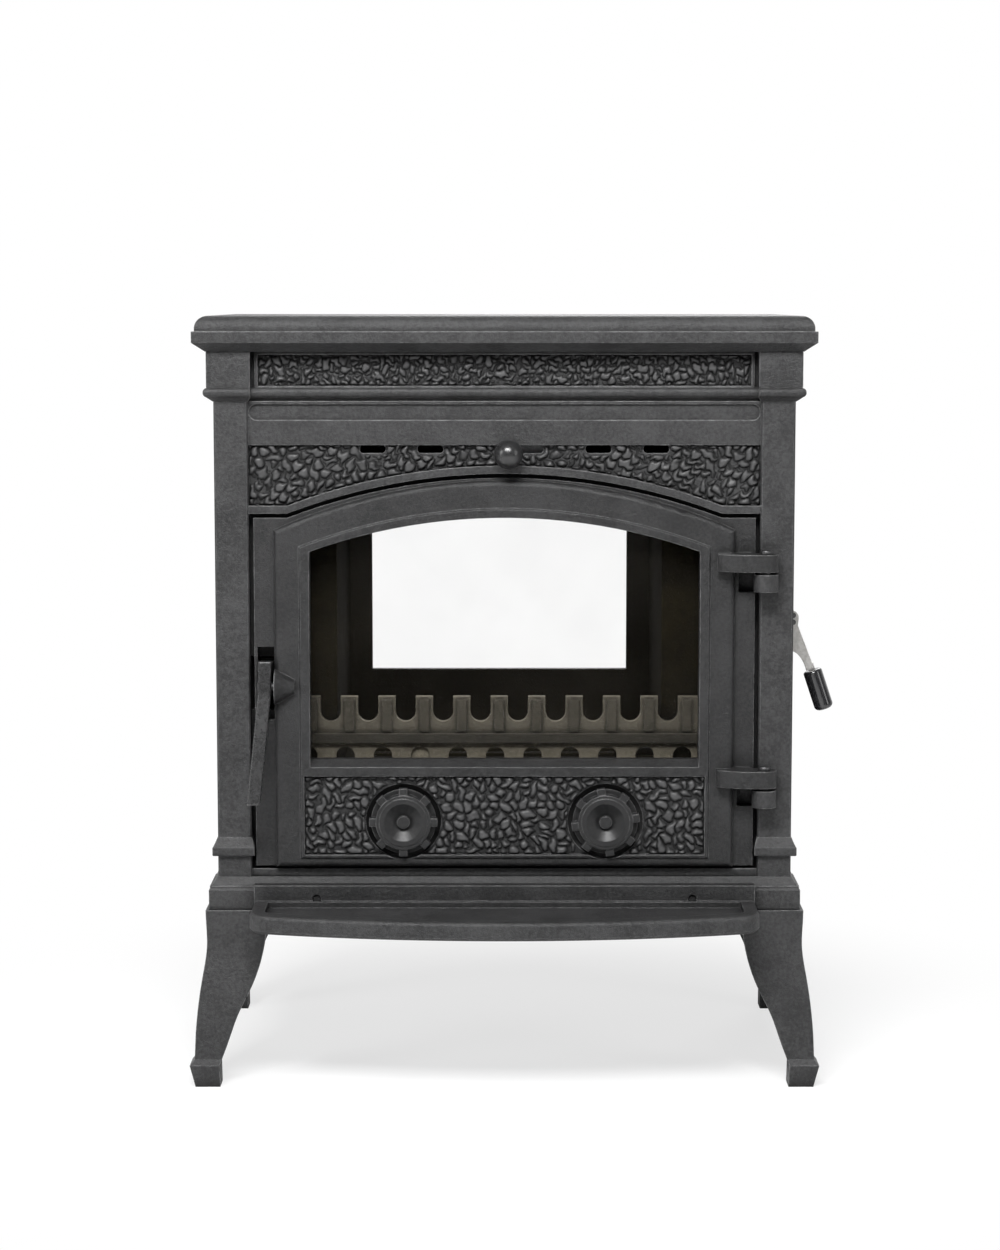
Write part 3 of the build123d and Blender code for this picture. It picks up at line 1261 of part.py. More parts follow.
def glass_gasket():
    y1 = DOOR_BACK_Y + GASKET_T
    return glass_outline(GLASS_LAP, DOOR_BACK_Y, y1) - glass_outline(EPS, DOOR_BACK_Y - EPS, y1 + EPS)


def door_glass():
    y0 = DOOR_BACK_Y + GASKET_T
    return glass_outline(GLASS_LAP, y0, y0 + GLASS_T)


def glass_clips():
    """Bent clips that press the glass on its gasket."""
    clips = []
    y0 = DOOR_BACK_Y
    y1 = y0 + GASKET_T + GLASS_T
    for x, z in clip_places():
        inner = (0, 1) if z < FLOOR_Z + GLASS_BOTTOM else (-math.copysign(1, x), 0)
        w = CLIP_HALF
        foot = block(x - w, x + w, y0, y1 + CLIP_T, z - w, z + w)
        ux, uz = inner
        tx0, tx1 = sorted((x, x + ux * CLIP_REACH)) if ux else (x - w, x + w)
        tz0, tz1 = sorted((z, z + uz * CLIP_REACH)) if uz else (z - w, z + w)
        clip = foot + block(tx0, tx1, y1, y1 + CLIP_T, tz0, tz1)
        clips.append(clip - rod_y(x, z, CLIP_SCREW_R + HOLE_PLAY, y0 - EPS, y1 + CLIP_T + EPS))
    return clips


def glass_clip_screws():
    head = DOOR_BACK_Y + GASKET_T + GLASS_T + CLIP_T
    tip = DOOR_BACK_Y - WINDOW_SCREW_DEPTH
    return [screw_y(x, z, CLIP_SCREW_R, head, tip, CLIP_HEAD_R, CLIP_HEAD_H) for x, z in clip_places()]


def rope_ring(grow, y0, y1):
    drop = GASKET_DROP
    return arch(ROPE_HALF, FLOOR_Z + DOOR_BOTTOM + ROPE_W, FLOOR_Z + FRAME_CORNER - drop,
                FLOOR_Z + FRAME_CROWN - drop, y0, y1, grow)


def door_rope():
    """Rope seal on the door's back, just clear of the seat."""
    y0, y1 = DOOR_BACK_Y, BACK_Y - CLEAR
    ring = rope_ring(ROPE_W / 2, y0, y1)
    return ring - rope_ring(-ROPE_W / 2, y0 - EPS, y1 + EPS)


def hinge_pins():
    """Headed hinge pins, fixed in the body's knuckles."""
    pins = []
    for top in HINGE_TOPS:
        z1 = FLOOR_Z + top
        z0 = z1 - 2 * KNUCKLE_H - HINGE_GAP
        pin = rod_z(HINGE_X, HINGE_Y, HINGE_PIN_R, z0, z1 + CLEAR)
        head = rod_z(HINGE_X, HINGE_Y, PIN_HEAD_R, z1 + CLEAR, z1 + CLEAR + PIN_HEAD_H)
        head = fillet(head.faces().sort_by(Axis.Z)[-1].edges(), PIN_HEAD_ROUND)
        pins.append(pin + head)
    return pins


# Door handle
def handle_section(x, y, z, width, depth):
    return Pos(x, y, z) * RectangleRounded(width, depth, HANDLE_ROUND)


def door_handle():
    """Cast handle: a leaning bar, a hub on the pivot and a hook that reaches through the door."""
    z = HANDLE_PIVOT_Z
    w, t = HANDLE_W, HANDLE_T
    y_top = HANDLE_PIVOT_Y - HANDLE_TOP_OUT
    kink = handle_section(HANDLE_X, HANDLE_PIVOT_Y - HANDLE_KINK_OUT, z - HANDLE_KINK_DROP, w, t)
    high = [handle_section(HANDLE_X, y_top, z + HANDLE_TOP, w, t), kink]
    y_end = HANDLE_PIVOT_Y - HANDLE_OUT
    low = [kink, handle_section(HANDLE_X - HANDLE_LEAN, y_end, z - HANDLE_DROP, w, t)]
    x0, x1 = HANDLE_X - w / 2, HANDLE_X + w / 2
    shape = loft(high, ruled=True) + loft(low, ruled=True)
    shape += rod_x(HANDLE_PIVOT_Y, z, HUB_R, x0, x1)
    hook_y = HANDLE_PIVOT_Y + HOOK_REACH
    hook_top = z + HANDLE_TOP - HOOK_DROP
    under = hook_top - HOOK_NOSE_H / 2
    shape += block(x0, x1, HANDLE_PIVOT_Y - HANDLE_TOP_OUT, hook_y, hook_top - HOOK_H, under)
    shape += block(x0, x1, hook_y - HOOK_TIP, hook_y, hook_top - HOOK_NOSE_H, hook_top)
    return shape - rod_x(HANDLE_PIVOT_Y, z, HANDLE_PIN_R + RUN, x0 - EPS, x1 + EPS)


def handle_pin():
    x0 = HANDLE_X - HANDLE_W / 2 - EPS
    return rod_x(HANDLE_PIVOT_Y, HANDLE_PIVOT_Z, HANDLE_PIN_R, x0, -FRAME_HALF + BOSS_L - PIN_SHORT)


# Air wheels
def air_wheel(side):
    """Screw-in air wheel: back flange, eight lugs, raised ring, conical dish and centre boss."""
    x, z = side * WHEEL_X, FLOOR_Z + WHEEL_Z
    y1 = POCKET_Y - CLEAR - WASHER_T
    y_lug = y1 - WHEEL_BACK_T
    wheel = rod_y(x, z, WHEEL_R - WHEEL_STEP, y_lug, y1)
    disc = rod_y(x, z, WHEEL_R, y_lug - LUG_T + EPS, y_lug)
    keep = rod_y(x, z, WHEEL_R - LUG_DEPTH, y_lug - LUG_T, y_lug + EPS)
    lugs = None
    for k in range(WHEEL_LUGS):
        bar = block(-LUG_W / 2, LUG_W / 2, y_lug - LUG_T, y_lug, 0, WHEEL_R + EPS)
        bar = Pos(x, 0, z) * Rot(0, 360 * k / WHEEL_LUGS, 0) * bar
        lugs = bar if lugs is None else lugs + bar
    wheel += (disc & lugs) + keep
    front = y1 - WHEEL_T
    wheel += rod_y(x, z, WHEEL_RING_R, front, y1)
    wheel = chamfer(wheel.faces().sort_by(Axis.Y)[0].edges(), WHEEL_EDGE)
    dish = Cone(WHEEL_DISH_R + EPS, WHEEL_BOSS_R, WHEEL_DISH_T + EPS)
    wheel -= Pos(x, front + (WHEEL_DISH_T - EPS) / 2, z) * Rot(-90, 0, 0) * dish
    wheel += rod_y(x, z, WHEEL_BOSS_R, front + WHEEL_STEP, y1)
    wheel -= rod_y(x, z, STUD_R + RUN, front + STUD_SHORT, y1 + EPS)
    return wheel


def air_wheel_left():
    return air_wheel(-1)


def air_wheel_right():
    x, z = WHEEL_X, FLOOR_Z + WHEEL_Z
    return Pos(x, 0, z) * Rot(0, RIGHT_WHEEL_TURN, 0) * Pos(-x, 0, -z) * air_wheel(1)


def wheel_washer(side):
    """Spring washer that travels with the wheel but doesn't turn."""
    x, z = side * WHEEL_X, FLOOR_Z + WHEEL_Z
    y1 = POCKET_Y - CLEAR
    return rod_y(x, z, WASHER_R, y1 - WASHER_T, y1) - rod_y(x, z, STUD_R + RUN, y1 - WASHER_T - EPS, y1 + EPS)


def air_wheel_studs():
    """Studs fixed in the door that the wheels screw along."""
    y0 = POCKET_Y - WASHER_T - WHEEL_T + STUD_SHORT
    return [rod_y(side * WHEEL_X, FLOOR_Z + WHEEL_Z, STUD_R, y0, DOOR_BACK_Y + NUT_T) for side in (-1, 1)]


def stud_nuts():
    nuts = []
    for side in (-1, 1):
        x, z = side * WHEEL_X, FLOOR_Z + WHEEL_Z
        y0 = DOOR_BACK_Y - EPS
        hexagon = Plane(origin=(x, y0, z), x_dir=(1, 0, 0), z_dir=(0, 1, 0)) * RegularPolygon(NUT_R, 6)
        nut = extrude(hexagon, amount=NUT_T, dir=(0, 1, 0))
        nuts.append(nut - rod_y(x, z, STUD_R + RUN, y0 - EPS, y0 + NUT_T + EPS))
    return nuts


# Air slider
def air_slider():
    """Plate behind the header with four windows, and a tongue through the long slot."""
    z = slot_z()
    y0 = BACK_Y + CLEAR
    y1 = y0 + SLIDER_T
    x0 = SLOT_CENTRE_X - SLIDER_W / 2
    plate = block(x0, x0 + SLIDER_W, y0, y1, z - SLIDER_H / 2, z + SLIDER_H / 2)
    for x in slot_centres():
        half = SLOT_W / 2
        plate -= block(x - half, x + half, y0 - EPS, y1 + EPS, z - SLOT_H / 2, z + SLOT_H / 2)
    w = STEM_W / 2
    tab_y = BAND_Y - TAB_GAP
    tongue = block(KNOB_X - w, KNOB_X + w, tab_y - TAB_T, y1, z - w + CLEAR, z + w - CLEAR)
    tab = block(KNOB_X - w, KNOB_X + w, tab_y - TAB_T, tab_y, z - KNOB_DROP - w, z + w - CLEAR)
    stud = rod_y(KNOB_X, z - KNOB_DROP, KNOB_STUD_R, BAND_Y - KNOB_STAND, tab_y)
    return plate + tongue + tab + stud


def slider_knob():
    """Ball knob on the slider's stud."""
    x, z = KNOB_X, slot_z() - KNOB_DROP
    y = BAND_Y - KNOB_STAND
    wide = 2 * KNOB_R
    ball = Pos(x, y, z) * Sphere(KNOB_R)
    ball -= block(x - wide, x + wide, y + KNOB_R - KNOB_FLAT, y + wide, z - wide, z + wide)
    return ball - rod_y(x, z, KNOB_STUD_R + RUN, y, y + KNOB_R + EPS)


def rail_screw_places():
    x = SLIDER_W / 2 - RAIL_SCREW_IN
    dz = SLIDER_H / 2 + CLEAR + RAIL_H / 2
    return [(SLOT_CENTRE_X + sx * x, slot_z() + sz * dz) for sx in (-1, 1) for sz in (-1, 1)]


def slider_rails():
    """Two stepped rails that hold the slider plate to the header."""
    z = slot_z()
    y0 = BACK_Y
    y1 = y0 + SLIDER_T + 2 * CLEAR
    x0, x1 = SLOT_CENTRE_X - SLIDER_W / 2 + RAIL_SHORT, SLOT_CENTRE_X + SLIDER_W / 2 - RAIL_SHORT
    rails = []
    for side in (-1, 1):
        inner = z + side * (SLIDER_H / 2 + CLEAR)
        outer = inner + side * RAIL_H
        lip = inner - side * RAIL_LIP
        low, high = sorted((inner, outer))
        rail = block(x0, x1, y0, y1, low, high)
        low, high = sorted((lip, outer))
        rail += block(x0, x1, y1, y1 + RAIL_T, low, high)
        for sx, sz in rail_screw_places():
            rail -= rod_y(sx, sz, SCREW_R + HOLE_PLAY, y0 - EPS, y1 + RAIL_T + EPS)
        rails.append(rail)
    return rails


def rail_screws():
    head = BACK_Y + SLIDER_T + 2 * CLEAR + RAIL_T
    tip = BACK_Y - RAIL_SCREW_DEPTH
    return [screw_y(x, z, SCREW_R, head, tip, RAIL_HEAD_R, SCREW_HEAD_H) for x, z in rail_screw_places()]


# Riddling gear on the right side
def crank():
    """Bell crank on the side: pivot boss, long arm down to the rod's pin and a pad for the lever."""
    y0, y1 = CRANK_Y - CRANK_T / 2, CRANK_Y + CRANK_T / 2
    x, z = CRANK_X, CRANK_Z
    shape = rod_y(x, z, CRANK_BOSS_R, y0, y1)
    x0 = x - CRANK_ARM_W / 2
    shape += block(x0, x0 + CRANK_ARM_W, y0, y1, ROD_Z, z)
    pad_in, pad_out, pad_up = CRANK_PAD
    shape += block(x - pad_in, x + pad_out, y0, y1, z, z + pad_up)
    eye_in, eye_out, eye_up, eye_down = CRANK_EYE
    low = ROD_Z - ROD_PIN_R - eye_down
    shape += block(ROD_PIN_X - eye_in, ROD_PIN_X + eye_out, y0, y1, low, ROD_Z + eye_up)
    shape -= rod_y(x, z, CRANK_PIN_R + RUN, y0 - EPS, y1 + EPS)
    half = ROD_PIN_R + ROD_SLOT_PLAY
    low = ROD_Z - ROD_PIN_R - CRANK_SLOT_LOW
    shape -= block(ROD_PIN_X - half, ROD_PIN_X + half, y0 - EPS, y1 + EPS, low, ROD_Z + half)
    for rx, rz in rivet_places():
        shape -= rod_y(rx, rz, RIVET_R + RUN, y0 - EPS, y1 + EPS)
    return shape


def rivet_places():
    return [(CRANK_X + RIVET_X, CRANK_Z + up) for up in RIVET_UP]


def lever_y():
    """Front and back of the flat lever, which lies against the crank."""
    y1 = CRANK_Y - CRANK_T / 2
    return y1 - LEVER_T, y1


def riddling_lever():
    """Flat steel lever with a round head, tapering to the grip."""
    y0, y1 = lever_y()
    x, z = CRANK_X, CRANK_Z
    a, top, b = [(x + u, y0, z + w) for u, w in LEVER_HEAD]
    c, d, e = [(x + u, y0, z + w) for u, w in LEVER_ARM]
    bend, f, under, g = [(x + u, y0, z + w) for u, w in LEVER_UNDER]
    edges = [ThreePointArc(a, top, b), Line(b, c), Line(c, d), Line(d, e), ThreePointArc(e, bend, f),
             ThreePointArc(f, under, g), Line(g, a)]
    plate = slab(edges, y0, y1) + rod_y(x, z, CRANK_BOSS_R, y0, y1)
    plate = plate + lever_tang(y0, y1) - rod_y(x, z, CRANK_PIN_R + RUN, y0 - EPS, y1 + EPS)
    for rx, rz in rivet_places():
        plate -= rod_y(rx, rz, RIVET_R + RUN, y0 - EPS, y1 + EPS)
    return plate


def grip_place(down):
    """Point on the grip's axis, a distance down from its top."""
    turn = math.radians(GRIP_ANGLE)
    x = CRANK_X + GRIP_OUT + down * math.sin(turn)
    z = CRANK_Z - GRIP_DROP - down * math.cos(turn)
    return x, z


def lever_tang(y0, y1):
    """Narrow end of the lever inside the grip."""
    x, z = grip_place(TANG_DOWN)
    bar = Box(TANG_W, y1 - y0, TANG_L)
    return Pos(x, (y0 + y1) / 2, z) * Rot(0, -GRIP_ANGLE, 0) * bar


def riddling_grip():
    """Black grip pushed on the lever's tang."""
    y0, y1 = lever_y()
    x, z = grip_place(GRIP_L / 2)
    grip = Cylinder(GRIP_R, GRIP_L)
    grip = fillet(grip.edges().sort_by(Axis.Z)[:1], GRIP_END_ROUND)
    grip = fillet(grip.edges().filter_by(GeomType.CIRCLE).sort_by(Axis.Z)[-1:], GRIP_TOP_ROUND)
    grip = Pos(x, (y0 + y1) / 2, z) * Rot(0, -GRIP_ANGLE, 0) * grip
    return grip - riddling_lever()


def lever_rivets():
    y0, y1 = lever_y()[0] - RIVET_HEAD_H, CRANK_Y + CRANK_T / 2
    rivets = []
    for x, z in rivet_places():
        shank = rod_y(x, z, RIVET_R, y0 + RIVET_HEAD_H, y1)
        rivets.append(shank + rod_y(x, z, RIVET_R + RIVET_HEAD, y0, y0 + RIVET_HEAD_H))
    return rivets


def crank_pin():
    """Pivot bolt of the crank, headed in front and fixed in the bracket."""
    y0 = lever_y()[0] - CLEAR
    head = rod_y(CRANK_X, CRANK_Z, CRANK_PIN_HEAD_R, y0 - CRANK_PIN_HEAD_H, y0)
    return head + rod_y(CRANK_X, CRANK_Z, CRANK_PIN_R, y0, BRACKET_Y + BRACKET_EAR_T + EPS)


def bracket_screw_z():
    return (CRANK_Z - BRACKET_SCREW_UP, CRANK_Z + BRACKET_SCREW_UP)


def crank_bracket():
    """Angle bracket on the side panel that holds the crank's pivot behind the crank."""
    y0 = BRACKET_Y
    z0, z1 = CRANK_Z - BRACKET_HALF_H, CRANK_Z + BRACKET_HALF_H
    shape = block(SIDE_OUT, SIDE_OUT + BRACKET_FOOT_T, y0, y0 + BRACKET_W, z0, z1)
    shape += block(SIDE_OUT, CRANK_X + CRANK_BOSS_R, y0, y0 + BRACKET_EAR_T,
                   CRANK_Z - BRACKET_EAR_HALF, CRANK_Z + BRACKET_EAR_HALF)
    shape -= rod_y(CRANK_X, CRANK_Z, CRANK_PIN_R + RUN, y0 - EPS, y0 + BRACKET_EAR_T + EPS)
    for z in bracket_screw_z():
        face = SIDE_OUT + BRACKET_FOOT_T
        shape -= rod_x(BRACKET_SCREW_Y, z, SCREW_R + HOLE_PLAY, SIDE_OUT - EPS, face + EPS)
    return shape


def bracket_screws():
    screws = []
    head = SIDE_OUT + BRACKET_FOOT_T
    for z in bracket_screw_z():
        shank = rod_x(BRACKET_SCREW_Y, z, SCREW_R, SIDE_OUT - BRACKET_SCREW_DEPTH, head)
        screws.append(shank + rod_x(BRACKET_SCREW_Y, z, BRACKET_HEAD_R, head, head + SCREW_HEAD_H))
    return screws


def riddling_rod():
    """Rod from the riddling plate's lug to the crank's slot, with its cross pin."""
    x0 = INNER_SHIFT + CHEEK_HALF - RIDDLE_GAP - ROD_TRAVEL - ROD_IN_LUG
    rod = rod_x(ROD_Y, ROD_Z, ROD_R, x0, ROD_PIN_X)
    return rod + rod_y(ROD_PIN_X, ROD_Z, ROD_PIN_R, CRANK_Y - CRANK_T / 2 - ROD_PIN_END, ROD_Y)


BUILD = {
    "base_plate": base_plate,
    "leg_bolts": leg_bolts,
    "tie_rods": tie_rods,
    "tie_rod_nuts": tie_rod_nuts,
    "front_frame": front_frame,
    "rear_frame": rear_frame,
    "left_side_panel": lambda: mirror(side_panel(), about=Plane.YZ),
    "right_side_panel": right_side_panel,
    "top_plate": top_plate,
    "blanking_plate": blanking_plate,
    "blanking_screws": blanking_screws,
    "flue_collar": flue_collar,
    "flue_bolts": flue_bolts,
    "rear_gasket": rear_gasket,
    "rear_glass": rear_glass,
    "rear_glass_frame": rear_glass_frame,
    "rear_glass_screws": rear_glass_screws,
    "cheek_left": cheek_left,
    "cheek_right": cheek_right,
    "baffle_plate": baffle_plate,
    "grate": grate,
    "riddling_plate": riddling_plate,
    "log_fence": log_fence,
    "fire_front": fire_front,
    "ash_pan": ash_pan,
    "ash_lip": ash_lip,
    "ash_lip_bolts": ash_lip_bolts,
    "door_frame": door_frame,
    "glass_gasket": glass_gasket,
    "door_glass": door_glass,
    "glass_clips": glass_clips,
    "glass_clip_screws": glass_clip_screws,
    "door_rope": door_rope,
    "hinge_pins": hinge_pins,
    "door_handle": door_handle,
    "handle_pin": handle_pin,
    "air_wheel_left": air_wheel_left,
    "air_wheel_right": air_wheel_right,
    "wheel_washer_left": lambda: wheel_washer(-1),
    "wheel_washer_right": lambda: wheel_washer(1),
    "air_wheel_studs": air_wheel_studs,
    "stud_nuts": stud_nuts,
    "air_slider": air_slider,
    "slider_knob": slider_knob,
    "slider_rails": slider_rails,
    "rail_screws": rail_screws,
    "crank": crank,
    "riddling_lever": riddling_lever,
    "riddling_grip": riddling_grip,
    "lever_rivets": lever_rivets,
    "crank_pin": crank_pin,
    "crank_bracket": crank_bracket,
    "bracket_screws": bracket_screws,
    "riddling_rod": riddling_rod,
}


def write(name, shape):
    """Write one node's solid, or its group of solids, to its own file."""
    solids = shape if isinstance(shape, list) else [shape]
    solids = [s for item in solids for s in item.solids()]
    node = solids[0] if len(solids) == 1 else Compound(children=solids)
    node.label = name
    export_step(node, f"parts/{name}.step")


def main():
    os.makedirs("parts", exist_ok=True)
    rear_right = leg()
    legs = {
        "leg_rear_right": rear_right,
        "leg_rear_left": mirror(rear_right, about=Plane.YZ),
        "leg_front_right": mirror(rear_right, about=Plane.XZ),
        "leg_front_left": mirror(mirror(rear_right, about=Plane.XZ), about=Plane.YZ),
    }
    for name, shape in legs.items():
        write(name, shape)
    for name, make in BUILD.items():
        write(name, make())


main()
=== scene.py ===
"""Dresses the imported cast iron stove: pebbled ornament, cast and steel finishes, glass, studio and camera."""

import json
import logging
import math
from dataclasses import dataclass, field
from enum import Enum
from typing import Callable

import bmesh
import bpy
import numpy as np
from mathutils import Matrix, Vector


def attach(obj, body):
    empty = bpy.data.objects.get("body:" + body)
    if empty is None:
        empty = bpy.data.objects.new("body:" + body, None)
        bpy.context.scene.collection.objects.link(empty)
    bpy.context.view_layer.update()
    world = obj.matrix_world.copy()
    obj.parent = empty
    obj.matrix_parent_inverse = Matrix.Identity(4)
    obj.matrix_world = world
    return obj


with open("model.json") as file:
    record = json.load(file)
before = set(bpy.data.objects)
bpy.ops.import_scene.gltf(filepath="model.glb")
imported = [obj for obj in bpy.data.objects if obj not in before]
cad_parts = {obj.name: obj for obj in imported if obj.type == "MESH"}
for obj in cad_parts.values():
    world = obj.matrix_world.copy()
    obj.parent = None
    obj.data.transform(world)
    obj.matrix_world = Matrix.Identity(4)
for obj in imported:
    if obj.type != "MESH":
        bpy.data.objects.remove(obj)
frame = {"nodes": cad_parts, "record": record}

LOG = logging.getLogger("stove")
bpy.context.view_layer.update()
MM = 0.001
RELIEF = "relief"
# near black that the painted shade in each gap and groove darkens toward
PAINTED_SHADE_BLACK = (0.002, 0.002, 0.002)
SOOT = (0.014, 0.011, 0.006)

Sockets = dict[str, float | tuple[float, ...]]


class Facing(Enum):
    """Side of the stove that a relief looks to."""

    FRONT = "front"
    LEFT = "left"
    RIGHT = "right"


class Body(Enum):
    """Bodies of the frame that the new pieces ride on."""

    STOVE = "stove_body"
    DOOR = "front_door"


# Node helpers


def add_node(tree: bpy.types.NodeTree, kind: str, **values: object) -> bpy.types.Node:
    """Adds a node to a tree.

    Args:
        tree: the material's or the group's tree.
        kind: Blender's name of the node type.
        **values: attributes of the node, such as operation.

    Returns:
        The new node.
    """
    node = tree.nodes.new(kind)
    for name, value in values.items():
        setattr(node, name, value)
    return node


def feed(tree: bpy.types.NodeTree, socket: bpy.types.NodeSocket, source: object) -> None:
    """Links a socket, or sets its value where the source is a plain number or colour.

    Args:
        tree: the tree that holds the socket.
        socket: the input to feed.
        source: an output socket, a number or a tuple.
    """
    if isinstance(source, bpy.types.NodeSocket):
        tree.links.new(source, socket)
    elif isinstance(source, tuple) and len(source) == 3 and socket.type == "RGBA":
        socket.default_value = (*source, 1.0)
    else:
        socket.default_value = source


def math_node(tree: bpy.types.NodeTree, operation: str, *sources: object,
              clamp: bool = False) -> bpy.types.NodeSocket:
    """Adds a Math node.

    Args:
        tree: the tree.
        operation: the operation's name.
        *sources: what feeds its inputs, in order.
        clamp: whether the result stays between 0 and 1.

    Returns:
        Its output.
    """
    node = add_node(tree, "ShaderNodeMath", operation=operation, use_clamp=clamp)
    for socket, source in zip(node.inputs, sources):
        feed(tree, socket, source)
    return node.outputs[0]


def ramp(tree: bpy.types.NodeTree, value: object, low: float, high: float, to_low: float = 0.0,
         to_high: float = 1.0) -> bpy.types.NodeSocket:
    """Maps a value smoothly from one range to another.

    Args:
        tree: the tree.
        value: what is mapped.
        low: where the map starts.
        high: where it ends.
        to_low: the result at low.
        to_high: the result at high.

    Returns:
        The mapped output.
    """
    node = add_node(tree, "ShaderNodeMapRange", interpolation_type="SMOOTHSTEP")
    for index, source in enumerate((value, low, high, to_low, to_high)):
        feed(tree, node.inputs[index], source)
    return node.outputs[0]


def noise(tree: bpy.types.NodeTree, vector: object, scale: object, detail: float = 3.0, rough: float = 0.55,
          warp: float = 0.0) -> bpy.types.NodeSocket:
    """Adds a noise texture and returns its factor.

    Args:
        tree: the tree.
        vector: the coordinates.
        scale: the pattern's scale, per metre.
        detail: the number of octaves.
        rough: how strong the finer octaves are.
        warp: distortion.

    Returns:
        The factor output.
    """
    node = add_node(tree, "ShaderNodeTexNoise")
    feed(tree, node.inputs["Vector"], vector)
    feed(tree, node.inputs["Scale"], scale)
    feed(tree, node.inputs["Detail"], detail)
    feed(tree, node.inputs["Roughness"], rough)
    feed(tree, node.inputs["Distortion"], warp)
    return node.outputs["Fac"]


def scaled(tree: bpy.types.NodeTree, first: object, second: object) -> bpy.types.NodeSocket:
    """Product of two values."""
    return math_node(tree, "MULTIPLY", first, second)


def mix_colour(tree: bpy.types.NodeTree, factor: object, first: object,
               second: object) -> bpy.types.NodeSocket:
    """Mixes two colours.

    Args:
        tree: the tree.
        factor: 0 for the first colour, 1 for the second.
        first: the first colour.
        second: the second colour.

    Returns:
        The mixed colour.
    """
    node = add_node(tree, "ShaderNodeMix", data_type="RGBA")
    feed(tree, node.inputs[0], factor)
    feed(tree, node.inputs[6], first)
    feed(tree, node.inputs[7], second)
    return node.outputs[2]


def new_group(name: str, inputs: Sockets, outputs: dict[str, str],
              build: Callable[[bpy.types.NodeTree, bpy.types.Node], dict[str, object]]) -> bpy.types.NodeTree:
    """Builds a shader node group.

    Args:
        name: the group's name.
        inputs: input names with their default values.
        outputs: output names with their socket types.
        build: makes the nodes and returns what feeds each output.

    Returns:
        The group.
    """
    tree = bpy.data.node_groups.new(name, "ShaderNodeTree")
    for key, value in inputs.items():
        kind = "NodeSocketColor" if isinstance(value, tuple) else "NodeSocketFloat"
        socket = tree.interface.new_socket(name=key, in_out="INPUT", socket_type=kind)
        socket.default_value = (*value, 1.0) if isinstance(value, tuple) else value
    for key, kind in outputs.items():
        tree.interface.new_socket(name=key, in_out="OUTPUT", socket_type=kind)
    entry = add_node(tree, "NodeGroupInput")
    leave = add_node(tree, "NodeGroupOutput")
    for key, source in build(tree, entry).items():
        tree.links.new(source, leave.inputs[key])
    return tree


